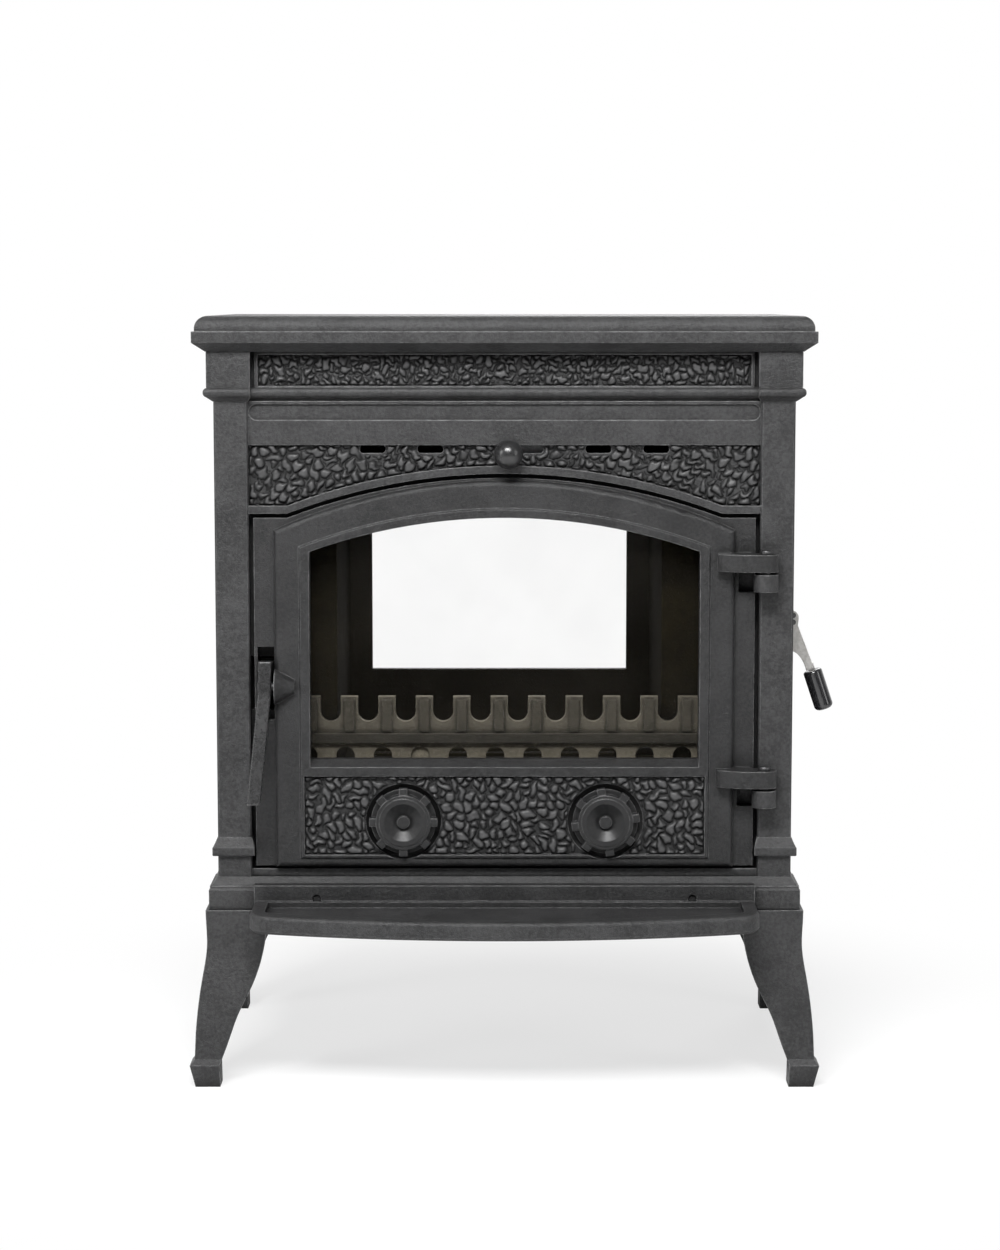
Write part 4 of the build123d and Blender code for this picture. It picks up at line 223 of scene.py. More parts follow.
class Effects:
    """Shader node groups that several finishes share, each built once.

    The scales are in patterns per metre, and a share of 1 is the whole effect.
    """

    fine_share: float = 0.45
    broad_scale: float = 24.0
    close_scale: float = 320.0
    mottle_range: tuple[float, float] = (0.38, 0.62)
    patch_scale: float = 140.0
    patch_range: tuple[float, float, float, float] = (0.35, 0.65, 0.25, 1.0)
    cloud_range: tuple[float, float] = (0.3, 0.75)
    upward_range: tuple[float, float] = (0.35, 1.0)
    open_range: tuple[float, float] = (0.2, 0.85)
    samples: int = 6

    def __init__(self) -> None:
        """Builds the groups."""
        flt = "NodeSocketFloat"
        self.grain = new_group("cast_grain", {"Scale": 900.0, "Swirl": 90.0}, {"Height": flt, "Mottle": flt},
                               self._grain)
        # edge mask: lightens edges partly as abraded iron, partly as painted highlight lines
        self.wear_and_highlight = new_group("edge_wear_and_highlight", {"Radius": 0.0012, "Start": 0.02, "End": 0.25},
                              {"Mask": flt, "Normal": "NodeSocketVector"}, self._edge_wear_and_highlight)
        self.dust = new_group("settled_dust", {"Scale": 60.0, "Amount": 0.4}, {"Mask": flt}, self._dust)
        # painted shade in each gap and corner, from ambient occlusion
        self.painted_shade = new_group("painted_gap_shade", {"Reach": 0.012, "Shade": 0.8}, {"Light": flt}, self._painted_shade)

    def _grain(self, tree: bpy.types.NodeTree, entry: bpy.types.Node) -> dict[str, object]:
        """Sand-cast grain: fine pits over a slow swell, and a mottle for the colour.

        Args:
            tree: the group's tree.
            entry: the group's input node.

        Returns:
            What feeds each output.
        """
        spot = add_node(tree, "ShaderNodeTexCoord").outputs["Object"]
        fine = noise(tree, spot, entry.outputs["Scale"], 4.0, 0.65)
        slow = noise(tree, spot, entry.outputs["Swirl"], 3.0, 0.6, 0.6)
        height = math_node(tree, "ADD", scaled(tree, fine, self.fine_share),
                           scaled(tree, slow, 1.0 - self.fine_share))
        broad = noise(tree, spot, self.broad_scale, 5.0, 0.75, 0.4)
        close = noise(tree, spot, self.close_scale, 3.0, 0.6)
        both = math_node(tree, "ADD", scaled(tree, broad, 0.5), scaled(tree, close, 0.5))
        mottle = ramp(tree, both, *self.mottle_range)
        return {"Height": height, "Mottle": mottle}

    def _edge_wear_and_highlight(self, tree: bpy.types.NodeTree, entry: bpy.types.Node) -> dict[str, object]:
        """Rounded edges and a mask of where they are, broken up by noise; the mask lightens edges as abraded
        iron and as painted highlight lines.

        Args:
            tree: the group's tree.
            entry: the group's input node.

        Returns:
            What feeds each output.
        """
        bevel = add_node(tree, "ShaderNodeBevel", samples=self.samples)
        tree.links.new(entry.outputs["Radius"], bevel.inputs["Radius"])
        flat = add_node(tree, "ShaderNodeNewGeometry").outputs["Normal"]
        dot = add_node(tree, "ShaderNodeVectorMath", operation="DOT_PRODUCT")
        tree.links.new(bevel.outputs["Normal"], dot.inputs[0])
        tree.links.new(flat, dot.inputs[1])
        turned = math_node(tree, "SUBTRACT", 1.0, dot.outputs["Value"])
        spot = add_node(tree, "ShaderNodeTexCoord").outputs["Object"]
        patchy = ramp(tree, noise(tree, spot, self.patch_scale, 4.0, 0.7), *self.patch_range)
        edge = ramp(tree, turned, entry.outputs["Start"], entry.outputs["End"])
        return {"Mask": scaled(tree, edge, patchy), "Normal": bevel.outputs["Normal"]}

    def _dust(self, tree: bpy.types.NodeTree, entry: bpy.types.Node) -> dict[str, object]:
        """Dust that settles on faces that look up.

        Args:
            tree: the group's tree.
            entry: the group's input node.

        Returns:
            What feeds each output.
        """
        split = add_node(tree, "ShaderNodeSeparateXYZ")
        tree.links.new(add_node(tree, "ShaderNodeNewGeometry").outputs["Normal"], split.inputs[0])
        spot = add_node(tree, "ShaderNodeTexCoord").outputs["Object"]
        cloud = ramp(tree, noise(tree, spot, entry.outputs["Scale"], 5.0, 0.7), *self.cloud_range)
        up = ramp(tree, split.outputs["Z"], *self.upward_range)
        return {"Mask": scaled(tree, scaled(tree, up, cloud), entry.outputs["Amount"])}


    def _painted_shade(self, tree: bpy.types.NodeTree, entry: bpy.types.Node) -> dict[str, object]:
        """Painted shade that darkens each gap and corner, found by ambient occlusion.

        Args:
            tree: the group's tree.
            entry: the group's input node.

        Returns:
            What feeds each output.
        """
        nearby = add_node(tree, "ShaderNodeAmbientOcclusion", samples=self.samples)
        tree.links.new(entry.outputs["Reach"], nearby.inputs["Distance"])
        open_share = ramp(tree, nearby.outputs["AO"], *self.open_range)
        closed = math_node(tree, "SUBTRACT", 1.0, open_share)
        lost = scaled(tree, closed, entry.outputs["Shade"])
        return {"Light": math_node(tree, "SUBTRACT", 1.0, lost)}


def place_group(tree: bpy.types.NodeTree, group: bpy.types.NodeTree, **values: object) -> bpy.types.Node:
    """Places a node group in a material with its own values.

    Args:
        tree: the material's tree.
        group: the group.
        **values: values of its inputs.

    Returns:
        The group's node.
    """
    node = add_node(tree, "ShaderNodeGroup", node_tree=group)
    for key, value in values.items():
        feed(tree, node.inputs[key], value)
    return node


def new_material(name: str) -> tuple[bpy.types.Material, bpy.types.Node]:
    """Makes an empty material with a Principled BSDF.

    Args:
        name: the material's name.

    Returns:
        The material and its shader.
    """
    material = bpy.data.materials.new(name)
    material.use_nodes = True
    return material, material.node_tree.nodes["Principled BSDF"]


@dataclass(frozen=True)
class CastIron:
    """Cast iron finish: grain, mottle, abraded edges that double as painted highlights, dust, and painted shade
    in each gap and corner.

    groove paints shade into the grooves of a pebbled sheet, the tops of its pebbles get a painted highlight,
    and soot_from is where the soot ahead of a rear wall ends.
    """

    name: str
    colour: tuple[float, float, float] = (0.017, 0.017, 0.0175)
    # edge colour: abraded iron, also used as painted highlight on edges and pebble tops
    mottle: tuple[float, float, float] = (0.036, 0.036, 0.0368)
    rubbed_and_highlight: tuple[float, float, float] = (0.28, 0.28, 0.282)
    dusty: tuple[float, float, float] = (0.15, 0.147, 0.14)
    rough: float = 0.4
    shine: float = 0.3
    grain_scale: float = 700.0
    grain_depth: float = 0.0013
    swirl: float = 210.0
    edge: float = 0.0018
    wear_and_highlight: float = 0.85
    dust: float = 0.05
    gap_reach: float = 0.016
    gap_shade: float = 0.95
    polish: float = 0.12
    groove: float = 0.0
    groove_shade_range: tuple[float, float] = (0.1, 0.55)
    crest_highlight_range: tuple[float, float] = (0.35, 0.95)
    crest_highlight_share: float = 0.13
    soot_from: float = 0.0

    def make(self, effects: Effects) -> bpy.types.Material:
        """Builds the material.

        Args:
            effects: the shared node groups.

        Returns:
            The material.
        """
        material, shader = new_material(self.name)
        tree = material.node_tree
        grain = place_group(tree, effects.grain, Scale=self.grain_scale, Swirl=self.swirl)
        wear_and_highlight = place_group(tree, effects.wear_and_highlight, Radius=self.edge)
        dust = place_group(tree, effects.dust, Amount=self.dust)
        painted_shade = place_group(tree, effects.painted_shade, Reach=self.gap_reach, Shade=self.gap_shade)
        base = mix_colour(tree, grain.outputs["Mottle"], self.colour, self.mottle)
        # edges lightened partly as abraded iron, partly as painted highlight lines
        worn_and_highlit = mix_colour(tree, scaled(tree, wear_and_highlight.outputs["Mask"], self.wear_and_highlight), base, self.rubbed_and_highlight)
        dusted_and_highlit = mix_colour(tree, dust.outputs["Mask"], worn_and_highlit, self.dusty)
        light = painted_shade.outputs["Light"]
        if self.groove:
            relief = add_node(tree, "ShaderNodeAttribute", attribute_name=RELIEF).outputs["Fac"]
            # painted shade: the relief attribute darkens the grooves between the pebbles
            light = scaled(tree, light, ramp(tree, relief, *self.groove_shade_range, 1.0 - self.groove, 1.0))
            # painted highlight: the pebble tops lightened toward the edge colour
            crest_highlight = ramp(tree, relief, *self.crest_highlight_range, 0.0, self.crest_highlight_share)
            dusted_and_highlit = mix_colour(tree, crest_highlight, dusted_and_highlit, self.rubbed_and_highlight)
        # painted shade: each gap, corner and groove darkened toward near black
        shaded = mix_colour(tree, light, PAINTED_SHADE_BLACK, dusted_and_highlit)
        if self.soot_from:
            shaded = mix_colour(tree, self._sooted(tree), shaded, SOOT)
        feed(tree, shader.inputs["Base Color"], shaded)
        rough = math_node(tree, "SUBTRACT", self.rough, scaled(tree, wear_and_highlight.outputs["Mask"], self.polish))
        closed = scaled(tree, math_node(tree, "SUBTRACT", 1.0, light), 0.3)
        lift = math_node(tree, "ADD", scaled(tree, grain.outputs["Mottle"], 0.06), closed)
        feed(tree, shader.inputs["Roughness"], math_node(tree, "ADD", rough, lift, clamp=True))
        shader.inputs["Specular IOR Level"].default_value = self.shine
        bump = add_node(tree, "ShaderNodeBump")
        feed(tree, bump.inputs["Distance"], self.grain_depth)
        feed(tree, bump.inputs["Height"], grain.outputs["Height"])
        feed(tree, bump.inputs["Normal"], wear_and_highlight.outputs["Normal"])
        tree.links.new(bump.outputs[0], shader.inputs["Normal"])
        return material

    def _sooted(self, tree: bpy.types.NodeTree) -> bpy.types.NodeSocket:
        """Mask of the faces that look into the fire, ahead of the rear wall.

        Args:
            tree: the material's tree.

        Returns:
            The mask.
        """
        spot = add_node(tree, "ShaderNodeSeparateXYZ")
        tree.links.new(add_node(tree, "ShaderNodeTexCoord").outputs["Object"], spot.inputs[0])
        return ramp(tree, spot.outputs["Y"], self.soot_from, self.soot_from + 2.0 * MM, 1.0, 0.0)


@dataclass(frozen=True)
class Steel:
    """Steel finish with fine brush lines along one axis."""

    name: str
    colour: tuple[float, float, float] = (0.42, 0.41, 0.395)
    tarnish: tuple[float, float, float] = (0.30, 0.29, 0.275)
    rough: float = 0.38
    lines: tuple[float, float, float] = (1600.0, 1600.0, 60.0)

    def make(self, effects: Effects) -> bpy.types.Material:
        """Builds the material.

        Args:
            effects: the shared node groups.

        Returns:
            The material.
        """
        material, shader = new_material(self.name)
        tree = material.node_tree
        mapping = add_node(tree, "ShaderNodeMapping")
        feed(tree, mapping.inputs["Vector"], add_node(tree, "ShaderNodeTexCoord").outputs["Object"])
        mapping.inputs["Scale"].default_value = self.lines
        lines = noise(tree, mapping.outputs[0], 1.0, 3.0, 0.6)
        grain = place_group(tree, effects.grain, Scale=1400.0, Swirl=200.0)
        wear_and_highlight = place_group(tree, effects.wear_and_highlight, Radius=0.0005)
        patina = mix_colour(tree, grain.outputs["Mottle"], self.tarnish, self.colour)
        feed(tree, shader.inputs["Base Color"], patina)
        shader.inputs["Metallic"].default_value = 1.0
        dull = ramp(tree, lines, 0.3, 0.7, self.rough - 0.06, self.rough + 0.1)
        feed(tree, shader.inputs["Roughness"], dull)
        bump = add_node(tree, "ShaderNodeBump")
        feed(tree, bump.inputs["Distance"], 0.04 * MM)
        feed(tree, bump.inputs["Height"], lines)
        feed(tree, bump.inputs["Normal"], wear_and_highlight.outputs["Normal"])
        tree.links.new(bump.outputs[0], shader.inputs["Normal"])
        return material


@dataclass(frozen=True)
class Glass:
    """Stove glass: clear, with a faint uneven smoky film."""

    name: str
    film: tuple[float, float, float] = (0.10, 0.09, 0.07)
    smoke: tuple[float, float] = (0.012, 0.03)

    def make(self, effects: Effects) -> bpy.types.Material:
        """Builds the material.

        Args:
            effects: the shared node groups; not used.

        Returns:
            The material.
        """
        material, shader = new_material(self.name)
        tree = material.node_tree
        spot = add_node(tree, "ShaderNodeTexCoord").outputs["Object"]
        smoke = ramp(tree, noise(tree, spot, 9.0, 4.0, 0.6, 0.5), 0.35, 0.8, *self.smoke)
        feed(tree, shader.inputs["Base Color"], self.film)
        feed(tree, shader.inputs["Alpha"], smoke)
        feed(tree, shader.inputs["Roughness"], ramp(tree, noise(tree, spot, 30.0), 0.3, 0.8, 0.02, 0.08))
        shader.inputs["IOR"].default_value = 1.5
        return material


@dataclass(frozen=True)
class Grip:
    """Glossy black moulded grip with faint swirl marks."""

    name: str
    colour: tuple[float, float, float] = (0.008, 0.008, 0.009)
    swirl: tuple[float, float, float] = (0.014, 0.014, 0.015)

    def make(self, effects: Effects) -> bpy.types.Material:
        """Builds the material.

        Args:
            effects: the shared node groups.

        Returns:
            The material.
        """
        material, shader = new_material(self.name)
        tree = material.node_tree
        grain = place_group(tree, effects.grain, Scale=2600.0, Swirl=300.0)
        wear_and_highlight = place_group(tree, effects.wear_and_highlight, Radius=0.0008)
        marks = mix_colour(tree, grain.outputs["Mottle"], self.colour, self.swirl)
        feed(tree, shader.inputs["Base Color"], marks)
        feed(tree, shader.inputs["Roughness"], ramp(tree, grain.outputs["Height"], 0.2, 0.8, 0.14, 0.24))
        shader.inputs["Coat Weight"].default_value = 0.4
        tree.links.new(wear_and_highlight.outputs["Normal"], shader.inputs["Normal"])
        return material


@dataclass(frozen=True)
class Rope:
    """Braided black fibre rope."""

    name: str
    colour: tuple[float, float, float] = (0.045, 0.043, 0.04)
    strand: tuple[float, float, float] = (0.07, 0.067, 0.06)
    weave_scale: float = 420.0

    def make(self, effects: Effects) -> bpy.types.Material:
        """Builds the material.

        Args:
            effects: the shared node groups.

        Returns:
            The material.
        """
        material, shader = new_material(self.name)
        tree = material.node_tree
        mapping = add_node(tree, "ShaderNodeMapping")
        feed(tree, mapping.inputs["Vector"], add_node(tree, "ShaderNodeTexCoord").outputs["Object"])
        mapping.inputs["Rotation"].default_value = (0.0, math.radians(45), 0.0)
        weave = add_node(tree, "ShaderNodeTexChecker")
        feed(tree, weave.inputs["Vector"], mapping.outputs[0])
        feed(tree, weave.inputs["Scale"], self.weave_scale)
        grain = place_group(tree, effects.grain, Scale=2400.0, Swirl=500.0)
        shade = mix_colour(tree, weave.outputs["Fac"], self.colour, self.strand)
        feed(tree, shader.inputs["Base Color"], shade)
        shader.inputs["Roughness"].default_value = 0.9
        bump = add_node(tree, "ShaderNodeBump")
        feed(tree, bump.inputs["Distance"], 0.6 * MM)
        both = math_node(tree, "ADD", weave.outputs["Fac"], grain.outputs["Height"])
        feed(tree, bump.inputs["Height"], both)
        tree.links.new(bump.outputs[0], shader.inputs["Normal"])
        return material


# Pebbled ornament


@dataclass
class Pebbles:
    """Irregular rounded pebbles with narrow grooves between them, as a height over a flat field.

    Every length is a share of the cell, and stretch is how long the longest pebble is for its width.
    """

    cell: float
    stretch: float
    seed: int
    groove: float = 0.17
    warp: float = 0.3
    crown: float = 0.42
    jitter: float = 0.42
    lowest: float = 0.72
    waves: int = 6
    wave_pitch: float = 2.2
    block: int = 4000

    def heights(self, points: np.ndarray) -> np.ndarray:
        """Relief at each point.

        Args:
            points: positions in the field's plane, in metres, as rows of two.

        Returns:
            Heights from 0 in the grooves to 1 on the highest pebbles.
        """
        rng = np.random.default_rng(self.seed)
        low, high = points.min(axis=0) - 2 * self.cell, points.max(axis=0) + 2 * self.cell
        count = np.ceil((high - low) / self.cell).astype(int)
        grid = np.stack(np.meshgrid(np.arange(count[0]), np.arange(count[1]), indexing="ij"), axis=-1)
        shifted = grid.astype(float)
        shifted[..., 0] += 0.5 * (grid[..., 1] % 2)
        spread = rng.uniform(-self.jitter, self.jitter, (count[0] * count[1], 2))
        seeds = low + (shifted.reshape(-1, 2) + spread) * self.cell
        turn = rng.uniform(0.0, math.pi, len(seeds))
        long = rng.uniform(1.0, self.stretch, len(seeds))
        lift = rng.uniform(self.lowest, 1.0, len(seeds))
        waves = rng.uniform(-1.0, 1.0, (self.waves, 2)) * self.wave_pitch * math.pi / self.cell
        phase = rng.uniform(0.0, 2 * math.pi, (self.waves, 2))
        bent = points + self.warp * self.cell / 3 * np.stack(
            [np.sin(points @ waves.T + phase[:, axis]).sum(axis=1) for axis in (0, 1)], axis=1) / 2
        result = np.zeros(len(points))
        cos, sin = np.cos(turn), np.sin(turn)
        for start in range(0, len(points), self.block):
            part = bent[start:start + self.block]
            du = part[:, None, 0] - seeds[None, :, 0]
            dv = part[:, None, 1] - seeds[None, :, 1]
            along, across = du * cos + dv * sin, dv * cos - du * sin
            reach = np.sqrt((along / long) ** 2 + (across * np.sqrt(long)) ** 2) / self.cell
            order = np.argpartition(reach, 1, axis=1)[:, :2]
            near = np.take_along_axis(reach, order, axis=1)
            flip = near[:, 0] > near[:, 1]
            first = np.where(flip, near[:, 1], near[:, 0])
            second = np.where(flip, near[:, 0], near[:, 1])
            owner = np.where(flip, order[:, 1], order[:, 0])
            wall = 1.0 - np.exp(-((second - first) / self.groove) ** 2 * 0.5)
            dome = 1.0 - self.crown * np.clip(first, 0.0, 1.0) ** 2
            result[start:start + self.block] = wall * dome * lift[owner]
        return result


@dataclass
class Relief:
    """A closed sheet of ornament that fills one recessed panel.

    lower gives the height of a curved lower edge, hidden is 0 where the pebbles sink out of sight, and opened
    says which faces are left out.
    """

    name: str
    half: float
    low: float
    high: float
    floor: float
    relief: float
    pebbles: Pebbles
    facing: Facing = Facing.FRONT
    body: Body = Body.STOVE
    step: float = 1.2 * MM
    sink: float = 0.4 * MM
    edge: float = 1.2 * MM
    hidden_depth: float = 8.0
    back_depth: float = 5.0
    lower: Callable[[np.ndarray], np.ndarray] | None = None
    hidden: Callable[[np.ndarray], np.ndarray] | None = None
    opened: Callable[[np.ndarray], np.ndarray] | None = None

    def build(self) -> bpy.types.Object:
        """Models the sheet.

        Returns:
            The sheet's object, riding on its body.
        """
        across = max(2, round(2 * self.half / self.step))
        up = max(2, round((self.high - self.low) / self.step))
        mesh = bmesh.new()
        bmesh.ops.create_grid(mesh, x_segments=across, y_segments=up, size=0.5)
        unit = np.array([v.co[:2] for v in mesh.verts])
        x = unit[:, 0] * 2 * self.half
        floor_line = self.lower(x) if self.lower else np.full(len(x), self.low)
        z = floor_line + (unit[:, 1] + 0.5) * (self.high - floor_line)
        points = np.stack([x, z], axis=1)
        height = self.pebbles.heights(points)
        margin = np.minimum(np.minimum(self.half - np.abs(x), self.high - z), z - floor_line)
        height *= np.clip(margin / self.edge, 0.0, 1.0) ** 0.5
        raised = height.copy()
        height = height * self.relief
        if self.hidden:
            keep = self.hidden(points)
            height = height * keep - (1.0 - keep) * self.sink * self.hidden_depth
        layer = mesh.verts.layers.float.new(RELIEF)
        for vert, px, pz, rise, share in zip(mesh.verts, x, z, height, raised):
            vert.co = (px, -(rise - self.sink), pz)
            vert[layer] = float(share)
        if self.opened:
            gone = [f for f in mesh.faces if self.opened(np.array([f.calc_center_median().xz]))[0]]
            bmesh.ops.delete(mesh, geom=gone, context="FACES")
        self._close(mesh)
        mesh.transform(self._place())
        bmesh.ops.recalc_face_normals(mesh, faces=mesh.faces)
        return finish_piece(self.name, mesh, self.body)

    def _close(self, mesh: bmesh.types.BMesh) -> None:
        """Gives the sheet a back inside the casting.

        Args:
            mesh: the open sheet.
        """
        border = [e for e in mesh.edges if e.is_boundary]
        skirt = bmesh.ops.extrude_edge_only(mesh, edges=border)["geom"]
        for vert in (g for g in skirt if isinstance(g, bmesh.types.BMVert)):
            vert.co.y = self.sink * self.back_depth
        rim = [g for g in skirt if isinstance(g, bmesh.types.BMEdge) and g.is_boundary]
        bmesh.ops.contextual_create(mesh, geom=rim)

    def _place(self) -> Matrix:
        """Matrix that takes the field from its own plane to its place on the stove."""
        if self.facing is Facing.FRONT:
            return Matrix.Translation((0.0, self.floor, 0.0))
        side = 1.0 if self.facing is Facing.RIGHT else -1.0
        turn = Matrix.Rotation(side * math.pi / 2, 4, "Z")
        return Matrix.Translation((side * self.floor, 0.0, 0.0)) @ turn


def finish_piece(name: str, mesh: bmesh.types.BMesh, body: Body) -> bpy.types.Object:
    """Turns a bmesh into an object that rides on a body.

    Args:
        name: the piece's name.
        mesh: its mesh, in the row frame.
        body: the body it moves with.

    Returns:
        The object.
    """
    data = bpy.data.meshes.new(name)
    mesh.to_mesh(data)
    mesh.free()
    data.polygons.foreach_set("use_smooth", [True] * len(data.polygons))
    piece = bpy.data.objects.new(name, data)
    bpy.context.scene.collection.objects.link(piece)
    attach(piece, body.value)
    LOG.info("%s: %d faces", name, len(data.polygons))
    return piece


@dataclass
class Ornament:
    """The pebbled panels of the front, the door and the sides."""

    frieze_half: float = 233.7 * MM
    frieze_low: float = 673.7 * MM
    frieze_high: float = 702.8 * MM
    recess_floor: float = -136.0 * MM
    spandrel_half: float = 243.3 * MM
    spandrel_top: float = 617.2 * MM
    rib_shoulder: float = 560.0 * MM
    rib_crown: float = 598.0 * MM
    shoulder_x: float = 207.0 * MM
    slot_centres: tuple[float, ...] = (-125.5 * MM, -70.5 * MM, 89.5 * MM, 144.5 * MM)
    slot_half: float = 12.25 * MM
    knob_slot: tuple[float, float] = (17.0 * MM, 20.0 * MM)
    slot_z: float = 613.5 * MM
    slot_rise: float = 3.9 * MM
    door_half: float = 191.7 * MM
    door_low: float = 224.8 * MM
    door_high: float = 300.2 * MM
    door_floor: float = -147.0 * MM
    wheel_x: float = 97.0 * MM
    wheel_z: float = 256.6 * MM
    pocket: float = 36.1 * MM
    side_half: float = 66.8 * MM
    side_low: float = 270.2 * MM
    side_high: float = 637.8 * MM
    side_floor: float = 264.0 * MM
    front_relief: float = 4.8 * MM
    side_relief: float = 3.2 * MM

    def rib_line(self, x: np.ndarray) -> np.ndarray:
        """Upper edge of the rib round the door opening.

        Args:
            x: positions across.

        Returns:
            Heights of the rib's upper edge.
        """
        half, rise = self.shoulder_x, self.rib_crown - self.rib_shoulder
        radius = (half * half + rise * rise) / (2 * rise)
        inside = np.clip(radius ** 2 - np.clip(np.abs(x), 0, half) ** 2, 0, None)
        return self.rib_crown - radius + np.sqrt(inside) + 0.3 * MM

    def slot_distance(self, points: np.ndarray) -> np.ndarray:
        """Distance outside the nearest air slot, negative inside.

        Args:
            points: positions across and up.

        Returns:
            The distances.
        """
        places = [(x, self.slot_half) for x in self.slot_centres] + [self.knob_slot]
        nearest = np.full(len(points), 1.0)
        for centre, half in places:
            dx = np.clip(np.abs(points[:, 0] - centre) - (half - self.slot_rise), 0, None)
            dz = np.abs(points[:, 1] - self.slot_z)
            nearest = np.minimum(nearest, np.sqrt(dx ** 2 + dz ** 2) - self.slot_rise)
        return nearest

    def near_slots(self, points: np.ndarray) -> np.ndarray:
        """1 away from the slots, falling to 0 at their edges."""
        return np.clip((self.slot_distance(points) - 0.8 * MM) / (2.0 * MM), 0.0, 1.0)

    def in_slots(self, points: np.ndarray) -> np.ndarray:
        """Whether a face lies in a slot."""
        return self.slot_distance(points) < 0.3 * MM

    def near_wheels(self, points: np.ndarray) -> np.ndarray:
        """1 away from the air wheels' pockets, falling to 0 at their edges."""
        away = np.hypot(np.abs(points[:, 0]) - self.wheel_x, points[:, 1] - self.wheel_z) - self.pocket
        return np.clip((away - 0.4 * MM) / (1.4 * MM), 0.0, 1.0)

    def build(self) -> list[bpy.types.Object]:
        """Models every panel.

        Returns:
            The sheets.
        """
        reliefs = [
            Relief("frieze_pebbles", self.frieze_half, self.frieze_low, self.frieze_high, self.recess_floor,
                   self.front_relief, Pebbles(7.6 * MM, 2.5, 11), step=0.9 * MM),
            Relief("spandrel_pebbles", self.spandrel_half, self.rib_shoulder, self.spandrel_top,
                   self.recess_floor, self.front_relief, Pebbles(9.6 * MM, 1.9, 5), lower=self.rib_line,
                   hidden=self.near_slots, opened=self.in_slots, step=1.0 * MM),
            Relief("door_pebbles", self.door_half, self.door_low, self.door_high, self.door_floor,
                   self.front_relief, Pebbles(9.4 * MM, 2.1, 23), body=Body.DOOR, hidden=self.near_wheels,
                   step=1.0 * MM),
        ]
        for side in (Facing.LEFT, Facing.RIGHT):
            reliefs.append(Relief(f"side_pebbles_{side.value}", self.side_half, self.side_low, self.side_high,
                                  self.side_floor, self.side_relief, Pebbles(9.4 * MM, 1.9, 31),
                                  facing=side, step=1.5 * MM))
        return [relief.build() for relief in reliefs]


@dataclass
class Dressing:
    """Gives every CAD node and new piece its finish."""

    effects: Effects
    rear_inner: float = 133.5 * MM
    finishes: dict[str, bpy.types.Material] = field(default_factory=dict)

    def make(self) -> None:
        """Builds the finishes."""
        wanted = {
            "body_iron": CastIron("body_iron"),
            # door: a darker copy of body_iron, painted shade for the door's faces
            "door_iron_painted_shade": CastIron("door_iron_painted_shade", (0.011, 0.011, 0.0113), (0.022, 0.022, 0.0226)),
            # base castings: the painted shade reaches further, darkening the plinth under the door
            "base_iron": CastIron("base_iron", gap_reach=0.06),
            # pebbled sheets: painted shade in the grooves and a painted highlight on the pebble tops
            "pebble_iron": CastIron("pebble_iron", (0.017, 0.017, 0.0175), (0.026, 0.026, 0.0266), rough=0.36,
                                    shine=0.3, grain_depth=0.0004, wear_and_highlight=0.0, gap_shade=0.6, groove=1.0),
            "wheel_iron": CastIron("wheel_iron", (0.011, 0.011, 0.0113), (0.016, 0.016, 0.0164), rough=0.33,
                                   grain_depth=0.0002, wear_and_highlight=0.5, dust=0.02),
            "handle_iron": CastIron("handle_iron", (0.012, 0.012, 0.0123), (0.02, 0.02, 0.0205), rough=0.25,
                                    shine=0.7, grain_depth=0.0002, wear_and_highlight=0.7, dust=0.02),
            "rear_iron": CastIron("rear_iron", soot_from=self.rear_inner),
            "top_iron": CastIron("top_iron", rough=0.45, dust=0.0),
            # firebox: sooted iron, made far darker than the soot colour as painted shade inside the box
            "firebox_iron": CastIron("firebox_iron", (0.002, 0.0016, 0.0007), (0.006, 0.0048, 0.002),
                                     (0.015, 0.012, 0.007), (0.006, 0.005, 0.003), rough=0.9, shine=0.05,
                                     dust=0.1),
            "fence_iron": CastIron("fence_iron", (0.09, 0.08, 0.058), (0.135, 0.12, 0.09),
                                   (0.2, 0.18, 0.14), (0.13, 0.118, 0.09), rough=0.75, shine=0.25,
                                   wear_and_highlight=0.7, dust=0.1),
            "plain_steel": Steel("plain_steel", (0.12, 0.12, 0.122), (0.08, 0.08, 0.082), 0.45),
            "bright_steel": Steel("bright_steel", (0.52, 0.51, 0.495), (0.40, 0.39, 0.375)),
            "clear_glass": Glass("clear_glass"),
            "rope_seal": Rope("rope_seal"),
            "black_grip": Grip("black_grip"),
            "knob_iron": CastIron("knob_iron", (0.012, 0.012, 0.0125), (0.016, 0.016, 0.0165),
                                  (0.05, 0.05, 0.05), rough=0.26, shine=0.6, grain_depth=0.00005, dust=0.0),
        }
        self.finishes = {name: finish.make(self.effects) for name, finish in wanted.items()}

    def dress(self, piece: bpy.types.Object, finish: str) -> None:
        """Puts one finish on every slot of a piece.

        Args:
            piece: the object.
            finish: the finish's name.
        """
        material = self.finishes[finish]
        if not piece.material_slots:
            piece.data.materials.append(material)
        for slot in piece.material_slots:
            slot.material = material

    def dress_frame(self) -> None:
        """Finishes the CAD nodes by their slot in the record."""
        special = {"top_plate": "top_iron", "base_plate": "base_iron", "ash_lip": "base_iron",
                   "ash_lip_bolts": "base_iron", "slider_knob": "knob_iron", "door_frame": "door_iron_painted_shade",
                   "air_wheel_left": "wheel_iron", "air_wheel_right": "wheel_iron",
                   "door_handle": "handle_iron", "rear_frame": "rear_iron", "log_fence": "fence_iron",
                   "fire_front": "fence_iron"}
        for entry in frame["record"]["subparts"]:
            node = frame["nodes"][entry["node"]]
            self.dress(node, special.get(entry["node"], entry["material_slot"]))
            LOG.info("%s: %s", entry["node"], entry["material_slot"])


@dataclass(frozen=True)
class Lamp:
    """One soft rectangular lamp: where it hangs, its width and height, and its power in watts."""

    name: str
    place: tuple[float, float, float]
    size: tuple[float, float]
    power: float


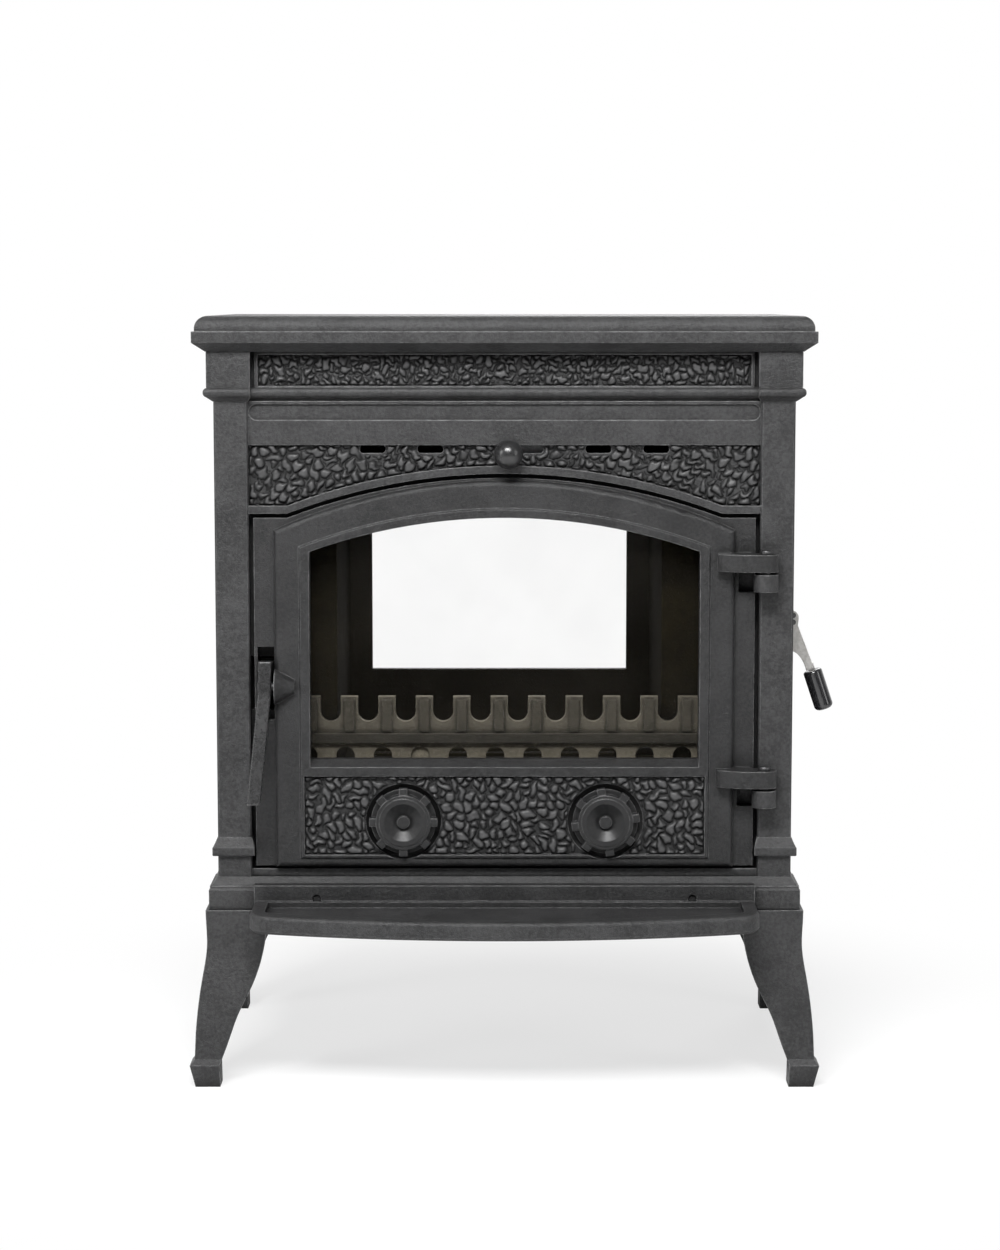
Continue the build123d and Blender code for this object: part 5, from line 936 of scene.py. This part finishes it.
@dataclass
class Studio:
    """Camera, pale floor, world and soft lamps."""

    eye: tuple[float, float, float] = (-4.3 * MM, -2890.0 * MM, 756.3 * MM)
    pitch: float = 6.45
    lens: float = 83.3
    sensor: float = 36.0
    floor_half: float = 6.0
    floor_white: float = 0.86
    floor_fade: tuple[float, float, float, float] = (0.3, 0.75, 0.68, 1.0)
    fill: float = 0.14
    aim: tuple[float, float, float] = (0.0, 0.0, 0.4)
    lamps: tuple[Lamp, ...] = (
        Lamp("key", (-0.3, -2.2, 2.5), (1.6, 0.6), 148.0),
        Lamp("front_left", (-2.4, -1.5, 1.3), (0.7, 1.5), 21.0),
        Lamp("front_right", (2.4, -1.5, 1.2), (0.7, 1.5), 12.0),
        Lamp("rear", (0.4, 2.6, 1.9), (1.6, 1.0), 26.0),
    )

    def camera(self) -> None:
        """Places the camera as the photograph was taken."""
        data = bpy.data.cameras.new("camera")
        data.lens, data.sensor_width = self.lens, self.sensor
        data.clip_start, data.clip_end = 0.05, 50.0
        camera = bpy.data.objects.new("camera", data)
        camera.location = self.eye
        camera.rotation_euler = (math.radians(90.0 - self.pitch), 0.0, 0.0)
        bpy.context.scene.collection.objects.link(camera)
        bpy.context.scene.camera = camera

    def world(self) -> None:
        """White surroundings, dimmer for the light that they give."""
        world = bpy.data.worlds.new("surroundings")
        bpy.context.scene.world = world
        world.use_nodes = True
        tree = world.node_tree
        back = tree.nodes["Background"]
        path = add_node(tree, "ShaderNodeLightPath")
        heading = add_node(tree, "ShaderNodeSeparateXYZ")
        tree.links.new(add_node(tree, "ShaderNodeTexCoord").outputs["Generated"], heading.inputs[0])
        behind = ramp(tree, heading.outputs["Y"], -0.3, 0.8)
        mirrored = scaled(tree, path.outputs["Is Glossy Ray"], behind)
        seen = math_node(tree, "MAXIMUM", path.outputs["Is Camera Ray"], path.outputs["Is Transmission Ray"])
        seen = math_node(tree, "MAXIMUM", seen, mirrored)
        back.inputs["Color"].default_value = (1.0, 1.0, 1.0, 1.0)
        white = scaled(tree, seen, 1.0 - self.fill)
        feed(tree, back.inputs["Strength"], math_node(tree, "ADD", self.fill, white))

    def floor(self) -> None:
        """Pale floor that keeps a soft shadow and runs into the background."""
        mesh = bmesh.new()
        bmesh.ops.create_grid(mesh, x_segments=1, y_segments=1, size=self.floor_half)
        data = bpy.data.meshes.new("floor")
        mesh.to_mesh(data)
        mesh.free()
        floor = bpy.data.objects.new("floor", data)
        bpy.context.scene.collection.objects.link(floor)
        material, shader = new_material("pale_floor")
        tree = material.node_tree
        shader.inputs["Base Color"].default_value = (*[self.floor_white] * 3, 1.0)
        shader.inputs["Roughness"].default_value = 0.9
        shader.inputs["Specular IOR Level"].default_value = 0.0
        away = add_node(tree, "ShaderNodeVectorMath", operation="LENGTH")
        feed(tree, away.inputs[0], add_node(tree, "ShaderNodeTexCoord").outputs["Object"])
        plain = add_node(tree, "ShaderNodeEmission")
        mix = add_node(tree, "ShaderNodeMixShader")
        seen = add_node(tree, "ShaderNodeLightPath").outputs["Is Camera Ray"]
        far = ramp(tree, away.outputs["Value"], *self.floor_fade)
        feed(tree, mix.inputs[0], scaled(tree, far, seen))
        tree.links.new(shader.outputs[0], mix.inputs[1])
        tree.links.new(plain.outputs[0], mix.inputs[2])
        tree.links.new(mix.outputs[0], tree.nodes["Material Output"].inputs["Surface"])
        data.materials.append(material)

    def hang(self, lamp: Lamp) -> None:
        """Hangs one lamp.

        Args:
            lamp: its place, size and power.
        """
        data = bpy.data.lights.new(lamp.name, "AREA")
        data.shape = "RECTANGLE"
        data.size, data.size_y = lamp.size
        data.energy = lamp.power
        light = bpy.data.objects.new(lamp.name, data)
        light.location = lamp.place
        heading = Vector(self.aim) - Vector(lamp.place)
        light.rotation_euler = heading.to_track_quat("-Z", "Y").to_euler()
        bpy.context.scene.collection.objects.link(light)

    def build(self) -> None:
        """Sets up the whole studio."""
        self.camera()
        self.world()
        self.floor()
        for lamp in self.lamps:
            self.hang(lamp)
        bpy.context.scene.view_settings.view_transform = "Standard"


def main() -> None:
    """Builds the ornament, the finishes and the studio in order."""
    logging.basicConfig(level=logging.INFO, format="%(name)s: %(message)s")
    Studio().build()
    dressing = Dressing(Effects())
    dressing.make()
    dressing.dress_frame()
    for piece in Ornament().build():
        dressing.dress(piece, "pebble_iron")


if __name__ == "__main__":
    main()
